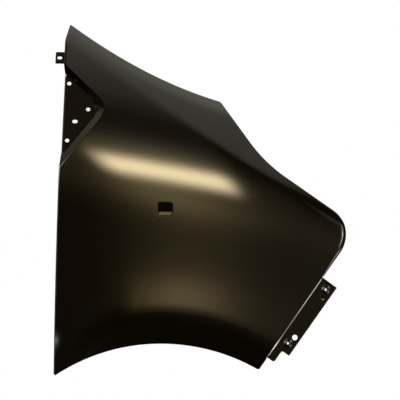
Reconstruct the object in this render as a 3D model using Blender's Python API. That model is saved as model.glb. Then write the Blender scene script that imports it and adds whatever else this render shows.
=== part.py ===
# Front right car fender: one pressed steel panel with two weld nuts behind its bumper flange.
# Lengths are in millimetres and angles in degrees, and the meshes are written in metres.
# While the panel is drawn, the wheel centre is the origin: X forward, Z up, Y inboard.
# At the end everything moves so that the middle of the bumper flange is the origin.

import math

import bmesh
import bpy
import numpy as np
from mathutils.geometry import delaunay_2d_cdt

MM = 0.001

# Sheet and bends
SHEET = 0.8
EDGE_BEND = 2.5
NOSE_BEND = 8.0
NOSE_BEND_REACH = 70.0
NOSE_BEND_FADE = 90.0
BEND_STEPS = 3
LINE_STEPS = 60

# Side view: wheel arch, bumper edge, nose, headlamp edge, bonnet edge and door edge.
# The nose is placed over the arch, the top tip over the nose, and the rest from the nose,
# the top tip or the foot of the door edge.
ARCH_RADIUS = 419.0
DOOR_FOOT_X = -231.0
NOSE_X = 424.0
NOSE_RISE = 251.0
NOSE_Z = ARCH_RADIUS + NOSE_RISE
TOP_RISE = 439.5
TOP_Z = NOSE_Z + TOP_RISE
BUMPER_FOOT_X = NOSE_X - 214.0
NOSE_CORNER = (NOSE_X, NOSE_Z)
NOSE_RADIUS = 66.0
HEADLAMP_KNEE = (NOSE_X - 200.0, NOSE_Z + 139.0)
HEADLAMP_KNEE_RADIUS = 320.0
BONNET_CORNER = (NOSE_X - 295.5, NOSE_Z + 271.0)
BONNET_CORNER_RADIUS = 9.0
BONNET_EDGE_SAG = 16.0
TOP_TIP = (DOOR_FOOT_X + 34.0, TOP_Z)
DOOR_HEAD = (DOOR_FOOT_X + 23.5, TOP_Z - 34.5)
DOOR_HEAD_RADIUS = 45.0
DOOR_EDGE_BOW = 3.6

# Form of the skin: how it bows and crowns, and how it turns past its three style lines
BELLY_HEIGHT = NOSE_Z - 29.0
BELLY_FALL = 0.22
BELLY_SLOPE = 0.052
CROWN_SLOPE = 1.5
CROWN_REACH = 340.0
BOW_DEPTH = 14.0
BOW_HALF_LENGTH = 220.0
FLARE_LIP = 69.0
FLARE_RADIUS = ARCH_RADIUS + FLARE_LIP
FLARE_SLOPE = 0.25
FLARE_SPAN = 160.0
FLARE_BEND = 20.0
LIP_SLOPE = 0.65
FLARE_FADE_START = -60.0
FLARE_FADE_LENGTH = 150.0
FLARE_FADE_REST = 0.25
CREASE_KNEE = (NOSE_X - 244.0, NOSE_Z + 140.36)
CREASE_HEAD = (DOOR_FOOT_X + 24.0, TOP_Z - 38.689)
CREASE_FALL = (CREASE_HEAD[1] - CREASE_KNEE[1]) / (CREASE_KNEE[0] - CREASE_HEAD[0])
CREASE_NOSE_FALL = 0.60
CREASE_KNEE_BEND = 20.0
CREASE_BEND = 4.0
SHOULDER_SLOPE = 1.3
ROLL_WIDTH = 21.0
ROLL_SLOPE = 0.6
ROLL_BEND = 8.0

# Return flanges
ARCH_FLANGE = 12.0
DOOR_FLANGE = 14.0
FRONT_FLANGE = 14.0
BONNET_DROP = 14.0
BONNET_LEDGE = 22.0

# Recessed seat for the door mirror trim, open to the door edge
POCKET_LOWER_END = TOP_Z - 311.5
POCKET_UPPER_END = TOP_Z - 86.5
POCKET_CORNER = (DOOR_FOOT_X + 121.4, TOP_Z - 180.7)
POCKET_RADIUS = 37.0
POCKET_DEPTH = 16.0
POCKET_LOWER_WALL = 17.5
POCKET_UPPER_WALL = 14.2
POCKET_FLOOR_RADIUS = 30.0
POCKET_EDGE_INSET = 4.0
POCKET_WALL_STEPS = ((0.12, 0.03), (0.30, 0.20), (0.78, 0.86), (1.0, 1.0))
CLIP_HOLE = 9.0
CLIP_HOLE_PLACES = (
    (DOOR_FOOT_X + 33.0, TOP_Z - 129.5), (DOOR_FOOT_X + 74.0, TOP_Z - 185.5),
    (DOOR_FOOT_X + 29.0, TOP_Z - 252.5))
CLIP_SLOT = (11.5, 8.5)
CLIP_SLOT_PLACE = (DOOR_FOOT_X + 45.7, TOP_Z - 211.5)

# Tab on the door edge, above the trim seat
TAB_HEIGHT = 25.0
TAB_LENGTH = 20.5
TAB_CORNER = 3.0
TAB_SLOT = (10.8, 8.5)
TAB_SLOT_REACH = 11.5

# Recess for the side lamp
SIDE_LAMP_CENTRE = (9.7, NOSE_Z + 39.0)
SIDE_LAMP_WIDTH = 30.5
SIDE_LAMP_HEIGHT = 29.0
SIDE_LAMP_CORNER = 2.2
SIDE_LAMP_DEPTH = 10.0
SIDE_LAMP_SIDE_DRAFT = 1.8
SIDE_LAMP_FOOT_DRAFT = 8.7

# Bumper flange, a strip stepped back from the bumper edge
STRIP_START = 31.0
STRIP_LENGTH = 208.5
STRIP_STEP = 3.0
STRIP_WIDTH = 35.8
STRIP_FOOT_LENGTH = 30.5
STRIP_FOOT_WIDTH = 17.0
STRIP_FOOT_CORNER = 5.0
STRIP_NOTCH_RADIUS = 5.0
STRIP_CORNER = 1.5
STRIP_HOLE = 12.0
STRIP_HOLE_PLACE = (70.0, 23.2)
NUT_PLACES = ((51.2, 18.3), (193.8, 18.3))
SEAT_FOOT_RADIUS = 11.0
SEAT_TOP_RADIUS = 7.5
SEAT_RISE = 2.0

# Weld nuts
NUT_HOLE = 10.0
NUT_THREAD = 6.0
NUT_ACROSS_FLATS = 11.0
NUT_HEIGHT = 5.5
NUT_PILOT_CLEARANCE = 0.4
NUT_PILOT_STEP = 0.2
NUT_GAP = 0.3

# Mesh density
COLUMNS = 34
CORNER_COLUMN = 18
LIP_ROWS = 4
STRIP_FOOT_ROWS = 2
MID_ROWS = 24
SHOULDER_ROWS = 7
POCKET_START_ROWS = 13
POCKET_END_ROWS = 26
STRIP_END_ROWS = 17
NOSE_START_ROWS = 22
CREASE_ROWS = LIP_ROWS + MID_ROWS
TOP_ROWS = CREASE_ROWS + SHOULDER_ROWS
POCKET_EDGE_STEPS = 6
POCKET_TIP_STEPS = 7
SIDE_LAMP_MARGIN = 5.0
RING_SIDES = 16
NUT_SIDES = 24
SHARP_ANGLE = 35.0


def unit(v):
    """Scale vectors to length one."""
    v = np.asarray(v, dtype=float)
    return v / np.linalg.norm(v, axis=-1, keepdims=True)


def ramp(t, radius):
    """Zero below, t above, with a turn of the given radius between."""
    return 0.5 * (t + np.sqrt(t * t + radius * radius))


def crown_slope(t):
    """Slope of the crowned side at a height above the belly line."""
    t = np.maximum(t, 0.0)
    return BELLY_SLOPE + CROWN_SLOPE * t * t / (CROWN_REACH ** 2 + t * t)


def crown_depth(t):
    """The slope above, summed from the belly line."""
    up = np.maximum(t, 0.0)
    return BELLY_SLOPE * t + CROWN_SLOPE * (up - CROWN_REACH * np.arctan(up / CROWN_REACH))


def crease_height(x):
    """Height of the shoulder crease, which flattens a little towards the nose."""
    ahead = x - CREASE_KNEE[0]
    eased = (CREASE_FALL - CREASE_NOSE_FALL) * ramp(ahead, CREASE_KNEE_BEND)
    return CREASE_KNEE[1] - CREASE_FALL * ahead + eased


def bonnet_height(x):
    """Height of the bonnet edge: its chord less a parabola of the named sag."""
    ax, az = TOP_TIP
    bx, bz = BONNET_CORNER
    s = (x - ax) / (bx - ax)
    dip = 4.0 * BONNET_EDGE_SAG / math.cos(math.atan2(az - bz, bx - ax))
    return az + (bz - az) * s - dip * s * (1.0 - s)


def flare_strength(x):
    """One over the wheel, fading towards the door."""
    s = np.clip((FLARE_FADE_START - x) / FLARE_FADE_LENGTH, 0.0, 1.0)
    return 1.0 - (1.0 - FLARE_FADE_REST) * s * s * (3.0 - 2.0 * s)


def depth(x, z):
    """How far the skin lies inboard at a place in the side view."""
    x = np.asarray(x, dtype=float)
    z = np.asarray(z, dtype=float)
    belly = BELLY_HEIGHT - BELLY_FALL * x
    d = crown_depth(z - belly) + BOW_DEPTH * (x / BOW_HALF_LENGTH) ** 2
    crease = crease_height(x)
    turn = SHOULDER_SLOPE - crown_slope(crease - belly)
    d = d + turn * ramp(z - crease, CREASE_BEND)
    d = d + ROLL_SLOPE * ramp(z - bonnet_height(x) + ROLL_WIDTH, ROLL_BEND)
    above = np.hypot(x, z) - FLARE_RADIUS
    strength = flare_strength(x)
    swell = np.clip(1.0 - above / FLARE_SPAN, 0.0, None) ** 3
    over_lip = np.minimum(swell, 1.0 + 3.0 * np.maximum(-above, 0.0) / FLARE_SPAN)
    d = d - FLARE_SLOPE * strength * FLARE_SPAN / 3.0 * over_lip
    return d + LIP_SLOPE * strength * ramp(-above, FLARE_BEND / strength)


def lift(points):
    """Points of the side view put on the skin."""
    p = np.asarray(points, dtype=float)
    return np.column_stack((p[:, 0], depth(p[:, 0], p[:, 1]), p[:, 1]))


def fillet(before, corner, after, radius, steps=24):
    """Arc of a radius that joins the two straight lines meeting at a corner."""
    before, corner, after = (np.asarray(p, dtype=float) for p in (before, corner, after))
    u = unit(before - corner)
    v = unit(after - corner)
    half = 0.5 * math.acos(float(np.clip(np.dot(u, v), -1.0, 1.0)))
    centre = corner + unit(u + v) * radius / math.sin(half)
    start = corner + u * radius / math.tan(half)
    end = corner + v * radius / math.tan(half)
    a = start - centre
    b = end - centre
    sweep = math.pi - 2.0 * half
    t = np.linspace(0.0, 1.0, steps + 1)[:, None]
    return centre + (a * np.sin((1.0 - t) * sweep) + b * np.sin(t * sweep)) / math.sin(sweep)


def resample(path, places):
    """Points at given fractions of a path's length."""
    path = np.asarray(path, dtype=float)
    run = np.concatenate(([0.0], np.cumsum(np.linalg.norm(np.diff(path, axis=0), axis=1))))
    at = np.asarray(places, dtype=float) * run[-1]
    return np.column_stack([np.interp(at, run, path[:, k]) for k in range(path.shape[1])])


def through(path, cells):
    """A path cut into equal cells, ends included."""
    return resample(path, np.linspace(0.0, 1.0, cells + 1))


def inset(path, distance, side):
    """A path moved sideways: side 1 moves it to its left, -1 to its right."""
    path = np.asarray(path, dtype=float)
    ahead = np.gradient(path, axis=0)
    left = unit(np.column_stack((-ahead[:, 1], ahead[:, 0])))
    return path + side * np.asarray(distance).reshape(-1, 1) * left


def meet(a, b, c, d):
    """Where the line through a and b crosses the line through c and d."""
    a, b, c, d = (np.asarray(p, dtype=float) for p in (a, b, c, d))
    m = np.column_stack((b - a, c - d))
    return a + (b - a) * np.linalg.solve(m, c - a)[0]


def cross(path, a, b):
    """Where a path crosses the line through a and b."""
    ahead = b - a
    side = (path[:, 0] - a[0]) * ahead[1] - (path[:, 1] - a[1]) * ahead[0]
    k = int(np.nonzero(side[:-1] * side[1:] <= 0.0)[0][0])
    return meet(a, b, path[k], path[k + 1])


def door_edge(height):
    """The door edge in the side view, a line with a slight bow."""
    foot_z = math.sqrt(ARCH_RADIUS ** 2 - DOOR_FOOT_X ** 2)
    head_x, head_z = DOOR_HEAD
    s = (np.asarray(height, dtype=float) - foot_z) / (head_z - foot_z)
    return DOOR_FOOT_X + (head_x - DOOR_FOOT_X) * s - 4.0 * DOOR_EDGE_BOW * s * (1.0 - s)


def edge_bend(path):
    """Radius of the bend along the front edge, largest round the nose."""
    path = np.asarray(path, dtype=float)
    away = np.hypot(path[:, 0] - NOSE_CORNER[0], path[:, 1] - NOSE_CORNER[1])
    s = np.clip((NOSE_BEND_REACH + NOSE_BEND_FADE - away) / NOSE_BEND_FADE, 0.0, 1.0)
    return EDGE_BEND + (NOSE_BEND - EDGE_BEND) * s * s * (3.0 - 2.0 * s)


def bend_reach(path):
    """How far the bend stands out past its bend line in the side view; less where the skin slopes."""
    out, _ = out_and_in(path, side_normals(path, -1.0))
    return edge_bend(path) * (1.0 - np.clip(out[:, 1], 0.0, None))


def side_lines():
    """The four sides of the skin in the side view, drawn on the bend lines."""
    foot = np.array((BUMPER_FOOT_X, math.sqrt(ARCH_RADIUS ** 2 - BUMPER_FOOT_X ** 2)))
    heel = np.array((DOOR_FOOT_X, math.sqrt(ARCH_RADIUS ** 2 - DOOR_FOOT_X ** 2)))
    a0 = math.atan2(heel[1], heel[0])
    a1 = math.atan2(foot[1], foot[0])
    turn = np.linspace(a0, a1, 2 * LINE_STEPS)
    radius = ARCH_RADIUS + EDGE_BEND
    arch = radius * np.column_stack((np.cos(turn), np.sin(turn)))

    nose = fillet(foot, NOSE_CORNER, HEADLAMP_KNEE, NOSE_RADIUS, 40)
    bumper = through((foot, nose[0]), LINE_STEPS)
    front = np.vstack((bumper, nose[1:]))

    knee = fillet(NOSE_CORNER, HEADLAMP_KNEE, BONNET_CORNER, HEADLAMP_KNEE_RADIUS)
    corner = fillet(HEADLAMP_KNEE, BONNET_CORNER, TOP_TIP, BONNET_CORNER_RADIUS, 8)
    lamp = np.vstack((through((nose[-1], knee[0]), LINE_STEPS), knee[1:],
                      through((knee[-1], corner[0]), LINE_STEPS)[1:]))
    x = np.linspace(corner[-1][0], TOP_TIP[0], LINE_STEPS)
    bonnet = np.column_stack((x, bonnet_height(x)))

    heights = np.linspace(heel[1], DOOR_HEAD[1], LINE_STEPS)
    door = np.column_stack((door_edge(heights), heights))
    head = fillet(door[-2], door[-1], TOP_TIP, DOOR_HEAD_RADIUS)
    door = np.vstack((door[door[:, 1] < head[0][1] - 1.0], head))
    head = through((head[-1], TOP_TIP), BEND_STEPS)

    front = inset(front, bend_reach(front), 1)
    lamp = inset(lamp, bend_reach(lamp), 1)
    bonnet = np.vstack((corner, bonnet[1:]))
    bonnet = inset(bonnet, bend_reach(bonnet), 1)
    door = inset(door, EDGE_BEND, -1)
    head = inset(head, EDGE_BEND, -1)
    tip = meet(bonnet[-2], bonnet[-1], head[-2], head[-1])
    bonnet = np.vstack((bonnet[bonnet[:, 0] > tip[0] + 1.0], tip))
    door = np.vstack((door, head[1:-1], tip))
    heel = np.array((door[0][0], math.sqrt(radius ** 2 - door[0][0] ** 2)))
    door = np.vstack((heel, door[door[:, 1] > heel[1] + 1.0]))
    foot = meet(front[0], front[1], arch[-1], arch[-2])
    front = np.vstack((foot, front[front[:, 1] > foot[1] + 1.0]))
    arch = np.vstack((heel, arch[(arch[:, 0] > heel[0] + 1.0) & (arch[:, 0] < foot[0] - 1.0)], foot))
    lamp[0] = front[-1]
    top = np.vstack((tip, bonnet[::-1][1:], lamp[::-1]))
    return arch, front, top, door


def cut_at(path, test):
    """Split a path at its first point that passes a test."""
    k = int(np.argmax(test))
    return path[:k + 1], path[k:]


def pocket_rim(door):
    """Outer edge of the trim seat, from its lower end round the tip to its upper end."""
    low = np.array((np.interp(POCKET_LOWER_END, door[:, 1], door[:, 0]), POCKET_LOWER_END))
    high = np.array((np.interp(POCKET_UPPER_END, door[:, 1], door[:, 0]), POCKET_UPPER_END))
    tip = fillet(low, POCKET_CORNER, high, POCKET_RADIUS)
    return np.vstack((low, tip, high))


def pocket_floor_edge(rim, door):
    """Edge of the flat floor: the rim's two lines moved in by the walls' widths."""
    low, high = rim[0], rim[-1]
    corner = np.asarray(POCKET_CORNER)
    n_low = unit(np.array((low[1] - corner[1], corner[0] - low[0])))
    n_high = unit(np.array((corner[1] - high[1], high[0] - corner[0])))
    low_line = (low + n_low * POCKET_LOWER_WALL, corner + n_low * POCKET_LOWER_WALL)
    high_line = (high + n_high * POCKET_UPPER_WALL, corner + n_high * POCKET_UPPER_WALL)
    inner = meet(low_line[0], low_line[1], high_line[0], high_line[1])
    open_edge = door + np.array((POCKET_EDGE_INSET, 0.0))
    ends = [cross(open_edge, *low_line), cross(open_edge, *high_line)]
    tip = fillet(ends[0], inner, ends[1], POCKET_FLOOR_RADIUS)
    return np.vstack((ends[0], tip, ends[1]))


def round_tip(path, cells):
    """A line with a rounded tip, most of its cells given to the tip."""
    side = (cells - POCKET_TIP_STEPS) // 2
    return np.vstack((through(path[:2], side), through(path[1:-1], POCKET_TIP_STEPS)[1:],
                      through(path[-2:], cells - side - POCKET_TIP_STEPS)[1:]))


def coons(bottom, top, left, right):
    """Grid of points between four sides, each side cut into the grid's own cells."""
    columns = bottom.shape[0]
    rows = left.shape[0]
    u = np.linspace(0.0, 1.0, columns)[None, :, None]
    v = np.linspace(0.0, 1.0, rows)[:, None, None]
    ruled = (1.0 - v) * bottom[None] + v * top[None] + (1.0 - u) * left[:, None] + u * right[:, None]
    corners = ((1.0 - u) * (1.0 - v) * bottom[0] + u * (1.0 - v) * bottom[-1]
               + (1.0 - u) * v * top[0] + u * v * top[-1])
    return ruled - corners


class Sheet:
    """Collects points and faces of the panel's outer surface and makes one mesh of them."""

    def __init__(self):
        self.mesh = bmesh.new()

    def point(self, place):
        return self.mesh.verts.new(place)

    def points(self, places):
        return [self.point(p) for p in places]

    def face(self, *corners):
        corners = [c for k, c in enumerate(corners) if c is not corners[k - 1]]
        if len(corners) > 2:
            self.mesh.faces.new(corners)

    def band(self, one, two):
        """Quads between two rows of points with equal counts."""
        for k in range(len(one) - 1):
            self.face(one[k], one[k + 1], two[k + 1], two[k])

    def plate(self, loops, frame, holes):
        """Flat or formed plate: loops of points, each with its place in the plate's own plane.

        The first loop is the outline. Faces whose middle lies in one of the holes are left out.
        """
        corners = [v for loop in loops for v in loop]
        flat = [frame(v.co) for v in corners]
        edges = []
        first = 0
        for loop in loops:
            count = len(loop)
            edges += [(first + k, first + (k + 1) % count) for k in range(count)]
            first += count
        places, _, faces, origin, _, _ = delaunay_2d_cdt(flat, edges, [], 1, 1e-6)
        for face in faces:
            middle = sum((places[k] for k in face), places[0] * 0.0) / len(face)
            if any(hole(middle) for hole in holes):
                continue
            self.face(*[corners[origin[k][0]] for k in face])


def build_skin_grid():
    """Rows and columns of the skin in the side view, and the stretches of its sides."""
    arch, front, top, door = side_lines()
    flare = FLARE_RADIUS
    door_low, door_rest = cut_at(door, np.hypot(door[:, 0], door[:, 1]) >= flare)
    front_low, front_rest = cut_at(front, np.hypot(front[:, 0], front[:, 1]) >= flare)
    front_mid, front_top = cut_at(front_rest, front_rest[:, 1] >= crease_height(front_rest[:, 0]))
    door_mid, door_top = cut_at(door_rest, door_rest[:, 1] >= crease_height(door_rest[:, 0]))

    foot_run = front[0] + unit(front[20] - front[0]) * STRIP_START
    head_run = front[0] + unit(front[20] - front[0]) * (STRIP_START + STRIP_LENGTH)
    front_sides = [through((front[0], foot_run), STRIP_FOOT_ROWS),
                   through((foot_run, front_low[-1]), LIP_ROWS - STRIP_FOOT_ROWS),
                   through((front_low[-1], head_run), STRIP_END_ROWS - LIP_ROWS)]
    bend = front_mid[front_mid[:, 1] > head_run[1] + 1.0]
    straight, arc = cut_at(bend, bend[:, 1] >= NOSE_CORNER[1] - NOSE_RADIUS)
    front_sides.append(through(np.vstack((head_run, straight)), NOSE_START_ROWS - STRIP_END_ROWS))
    front_sides.append(through(arc, CREASE_ROWS - NOSE_START_ROWS))
    front_sides.append(through(front_top, SHOULDER_ROWS))

    rim = pocket_rim(door)
    below = np.vstack((door_mid[door_mid[:, 1] < rim[0][1] - 1.0], rim[0]))
    tab_head = POCKET_UPPER_END + TAB_HEIGHT
    tab_head = np.array((np.interp(tab_head, door[:, 1], door[:, 0]), tab_head))
    over = np.vstack((tab_head, door_mid[door_mid[:, 1] > tab_head[1] + 1.0]))
    door_sides = [through(door_low, LIP_ROWS),
                  through(below, POCKET_START_ROWS - LIP_ROWS),
                  round_tip(rim, POCKET_END_ROWS - POCKET_START_ROWS),
                  np.vstack((rim[-1], tab_head)),
                  through(over, CREASE_ROWS - POCKET_END_ROWS - 1),
                  through(door_top, SHOULDER_ROWS)]
    left = np.vstack([door_sides[0]] + [s[1:] for s in door_sides[1:]])
    right = np.vstack([front_sides[0]] + [s[1:] for s in front_sides[1:]])

    a0 = math.atan2(left[LIP_ROWS][1], left[LIP_ROWS][0])
    a1 = math.atan2(right[LIP_ROWS][1], right[LIP_ROWS][0])
    turn = np.linspace(a0, a1, COLUMNS + 1)
    flare_row = flare * np.column_stack((np.cos(turn), np.sin(turn)))
    flare_row[0] = left[LIP_ROWS]
    flare_row[-1] = right[LIP_ROWS]
    x = np.linspace(left[CREASE_ROWS][0], right[CREASE_ROWS][0], 2 * LINE_STEPS)
    crease = np.column_stack((x, crease_height(x)))
    crease_row = through(crease, COLUMNS)
    crease_row[0] = left[CREASE_ROWS]
    crease_row[-1] = right[CREASE_ROWS]
    bonnet, lamp = cut_at(top, top[:, 0] >= BONNET_CORNER[0])
    top_row = np.vstack((through(bonnet, CORNER_COLUMN), through(lamp, COLUMNS - CORNER_COLUMN)[1:]))

    low = coons(through(arch, COLUMNS), flare_row, left[:LIP_ROWS + 1], right[:LIP_ROWS + 1])
    mid = coons(flare_row, crease_row, left[LIP_ROWS:CREASE_ROWS + 1], right[LIP_ROWS:CREASE_ROWS + 1])
    high = coons(crease_row, top_row, left[CREASE_ROWS:], right[CREASE_ROWS:])
    return np.vstack((low, mid[1:], high[1:])), rim, door


def out_and_in(edge, outward):
    """For each edge point, the way off the skin's edge and the way inboard from it."""
    step = 0.5
    away = unit(outward)
    d = (depth(edge[:, 0] + step * away[:, 0], edge[:, 1] + step * away[:, 1])
         - depth(edge[:, 0] - step * away[:, 0], edge[:, 1] - step * away[:, 1])) / (2.0 * step)
    out = unit(np.column_stack((away[:, 0], d, away[:, 1])))
    inboard = np.array((0.0, 1.0, 0.0)) - out * out[:, 1:2]
    return out, unit(inboard)


def side_normals(edge, side):
    """Outward normals of a row of side-view points."""
    ahead = np.gradient(edge, axis=0)
    return unit(side * np.column_stack((-ahead[:, 1], ahead[:, 0])))


def bend_rows(start, out, inboard, radius):
    """Rows of points round a quarter bend that starts on the skin's edge."""
    radius = np.asarray(radius, dtype=float).reshape(-1, 1)
    rows = []
    for k in range(1, BEND_STEPS + 1):
        a = 0.5 * math.pi * k / BEND_STEPS
        rows.append(start + radius * (math.sin(a) * out + (1.0 - math.cos(a)) * inboard))
    return rows


def turned_flange(sheet, edge, rows):
    """Bands from an edge of the skin through each row of points in turn."""
    last = edge
    for row in rows:
        new = sheet.points(row)
        sheet.band(last, new)
        last = new
    return last


def circle(radius, sides=RING_SIDES, turn=0.0):
    a = turn + 2.0 * math.pi * np.arange(sides) / sides
    return radius * np.column_stack((np.cos(a), np.sin(a)))


def slot_outline(length, width, sides=5):
    """Slot along the first axis with half-round ends."""
    a = np.linspace(-0.5 * math.pi, 0.5 * math.pi, sides + 1)
    end = 0.5 * width * np.column_stack((np.cos(a), np.sin(a)))
    half = 0.5 * (length - width)
    return np.vstack((end + (half, 0.0), -end - (half, 0.0)))


def rounded(corners, radii, steps=4):
    """Closed outline through corners, each with its own radius."""
    corners = [np.asarray(c, dtype=float) for c in corners]
    points = []
    for k, corner in enumerate(corners):
        if radii[k] > 0.0:
            after = corners[(k + 1) % len(corners)]
            points.append(fillet(corners[k - 1], corner, after, radii[k], steps))
        else:
            points.append(corner[None])
    return np.vstack(points)


def in_circle(centre, radius):
    return lambda p: math.hypot(p[0] - centre[0], p[1] - centre[1]) < radius


def in_box(centre, half_x, half_y):
    return lambda p: abs(p[0] - centre[0]) < half_x and abs(p[1] - centre[1]) < half_y


class Plane:
    """A flat place in space with two axes of its own."""

    def __init__(self, origin, first, second):
        self.origin = np.asarray(origin, dtype=float)
        self.first = unit(first)
        second = np.asarray(second, dtype=float)
        self.second = unit(second - self.first * np.dot(second, self.first))
        self.normal = np.cross(self.first, self.second)

    def at(self, flat, height=0.0):
        flat = np.atleast_2d(flat)
        return (self.origin + flat[:, :1] * self.first + flat[:, 1:2] * self.second
                + height * self.normal)

    def flat(self, place):
        d = np.asarray(place, dtype=float) - self.origin
        return (float(np.dot(d, self.first)), float(np.dot(d, self.second)))


def pocket_plane(rim, floor_edge):
    """The trim seat's floor, parallel to the skin's chord between the rim's ends."""
    low, high = rim[0], rim[-1]
    d_low, d_high = depth(*low), depth(*high)
    slope = (d_high - d_low) / (high[1] - low[1])
    origin = np.array((floor_edge[0][0], 0.0, floor_edge[0][1]))
    at_low = d_low + slope * (floor_edge[0][1] - low[1]) + POCKET_DEPTH
    origin[1] = at_low
    return Plane(origin, (1.0, 0.0, 0.0), (0.0, slope, 1.0))


def on_plane(plane, points):
    """Side-view points moved inboard onto a plane."""
    p = np.asarray(points, dtype=float)
    n = plane.normal
    y = plane.origin[1] - (n[0] * (p[:, 0] - plane.origin[0]) + n[2] * (p[:, 1] - plane.origin[2])) / n[1]
    return np.column_stack((p[:, 0], y, p[:, 1]))


def add_pocket(sheet, rim_points, rim, door):
    """Walls and floor of the trim seat. Gives the points of its open end, from low to high."""
    cells = len(rim_points) - 1
    floor_edge = pocket_floor_edge(rim, door)
    plane = pocket_plane(rim, floor_edge)
    top = np.array([v.co for v in rim_points], dtype=float)
    foot = on_plane(plane, round_tip(floor_edge, cells))
    last = rim_points
    low_end = []
    high_end = []
    for across, down in POCKET_WALL_STEPS:
        row = top + (foot - top) * np.array((across, down, across))
        row = sheet.points(row)
        sheet.band(last, row)
        last = row
        low_end.append(row[0])
        high_end.append(row[-1])
    low, high = floor_edge[0], floor_edge[-1]
    edge = through((high, low), POCKET_EDGE_STEPS)[1:-1]
    edge[:, 0] = np.interp(edge[:, 1], door[:, 1], door[:, 0]) + POCKET_EDGE_INSET
    open_edge = sheet.points(on_plane(plane, edge))
    loops = [last + open_edge]
    holes = []
    for place in CLIP_HOLE_PLACES:
        flat = plane.flat(on_plane(plane, [place])[0])
        loops.append(sheet.points(plane.at(circle(0.5 * CLIP_HOLE) + flat)))
        holes.append(in_circle(flat, 0.5 * CLIP_HOLE))
    flat = plane.flat(on_plane(plane, [CLIP_SLOT_PLACE])[0])
    loops.append(sheet.points(plane.at(slot_outline(*CLIP_SLOT) + flat)))
    holes.append(in_box(flat, 0.5 * CLIP_SLOT[0], 0.5 * CLIP_SLOT[1]))
    sheet.plate(loops, plane.flat, holes)
    return low_end + open_edge[::-1] + high_end[::-1], plane


def add_lamp_recess(sheet, grid, points):
    """Recess for the side lamp, pressed into the cells round its centre."""
    centre = np.asarray(SIDE_LAMP_CENTRE)
    half = np.array((0.5 * SIDE_LAMP_WIDTH, 0.5 * SIDE_LAMP_HEIGHT))
    inside = np.all(np.abs(grid - centre) < half + SIDE_LAMP_MARGIN, axis=2)
    rows = np.nonzero(inside.any(axis=1))[0]
    columns = np.nonzero(inside.any(axis=0))[0]
    r0, r1 = rows[0] - 1, rows[-1] + 1
    c0, c1 = columns[0] - 1, columns[-1] + 1
    loop = ([points[r0][c] for c in range(c0, c1)] + [points[r][c1] for r in range(r0, r1)]
            + [points[r1][c] for c in range(c1, c0, -1)] + [points[r][c0] for r in range(r1, r0, -1)])
    box = np.array([(-half[0], -half[1]), (half[0], -half[1]), (half[0], half[1]), (-half[0], half[1])])
    rim = sheet.points(lift(rounded(box, [SIDE_LAMP_CORNER] * 4, 3) + centre))
    ring = sheet.points(lift(box * (1.0 + SIDE_LAMP_MARGIN / SIDE_LAMP_WIDTH) + centre))
    hole = in_box(centre, half[0], half[1])
    sheet.plate([loop, ring, rim], lambda co: (co[0], co[2]), [hole])
    side = half[0] - SIDE_LAMP_SIDE_DRAFT
    low = -half[1] + SIDE_LAMP_FOOT_DRAFT
    high = half[1] - SIDE_LAMP_SIDE_DRAFT
    box = [(-side, low), (side, low), (side, high), (-side, high)]
    floor = rounded(box, [SIDE_LAMP_CORNER] * 4, 3) + centre
    level = float(depth(*centre)) + SIDE_LAMP_DEPTH
    floor = sheet.points(np.column_stack((floor[:, 0], np.full(len(floor), level), floor[:, 1])))
    sheet.band(rim + rim[:1], floor + floor[:1])
    sheet.face(*floor)
    return r0, r1, c0, c1


def strip_plane(start, out, inboard):
    """Plane of the bumper flange: along the bumper edge, stepped back from it."""
    middle = len(start) // 2
    origin = start[middle] + inboard[middle] * STRIP_STEP
    ahead = start[-1] - start[0]
    plane = Plane(origin, ahead, -out[middle])
    foot = start[0]
    plane.origin = plane.origin + plane.first * float(np.dot(foot - plane.origin, plane.first))
    return plane


def add_bumper_flange(sheet, edge, start, out, inboard):
    """Step and strip along the bumper edge, with its notch, seats and holes."""
    plane = strip_plane(start, out, inboard)
    fall = (plane.origin - start) @ plane.normal / (inboard @ plane.normal)
    root = sheet.points(start + inboard * fall[:, None])
    sheet.band(edge, root)
    flat = np.array([plane.flat(v.co) for v in root])
    far = float(flat[-1][0])
    out_low = float(flat[0][1])
    corners = [(far, out_low - STRIP_WIDTH), (STRIP_FOOT_LENGTH, out_low - STRIP_WIDTH),
               (STRIP_FOOT_LENGTH, out_low - STRIP_FOOT_WIDTH), (0.0, out_low - STRIP_FOOT_WIDTH)]
    radii = (STRIP_CORNER, STRIP_CORNER, STRIP_NOTCH_RADIUS, STRIP_FOOT_CORNER)
    path = []
    ring = [tuple(flat[-1])] + corners + [tuple(flat[0])]
    for k, radius in enumerate(radii):
        path.append(fillet(ring[k], ring[k + 1], ring[k + 2], radius, 4))
    outer = sheet.points(plane.at(np.vstack(path)))
    loops = [root + outer]
    holes = []
    level = out_low
    for along, across in NUT_PLACES:
        middle = np.array((along, level - across))
        loops.append(sheet.points(plane.at(circle(SEAT_FOOT_RADIUS) + middle)))
        loops.append(sheet.points(plane.at(circle(SEAT_TOP_RADIUS) + middle, SEAT_RISE)))
        loops.append(sheet.points(plane.at(circle(0.5 * NUT_HOLE) + middle, SEAT_RISE)))
        holes.append(in_circle(middle, 0.5 * NUT_HOLE))
    middle = np.array((STRIP_HOLE_PLACE[0], level - STRIP_HOLE_PLACE[1]))
    loops.append(sheet.points(plane.at(circle(0.5 * STRIP_HOLE) + middle)))
    holes.append(in_circle(middle, 0.5 * STRIP_HOLE))
    sheet.plate(loops, plane.flat, holes)
    return plane, level


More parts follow.
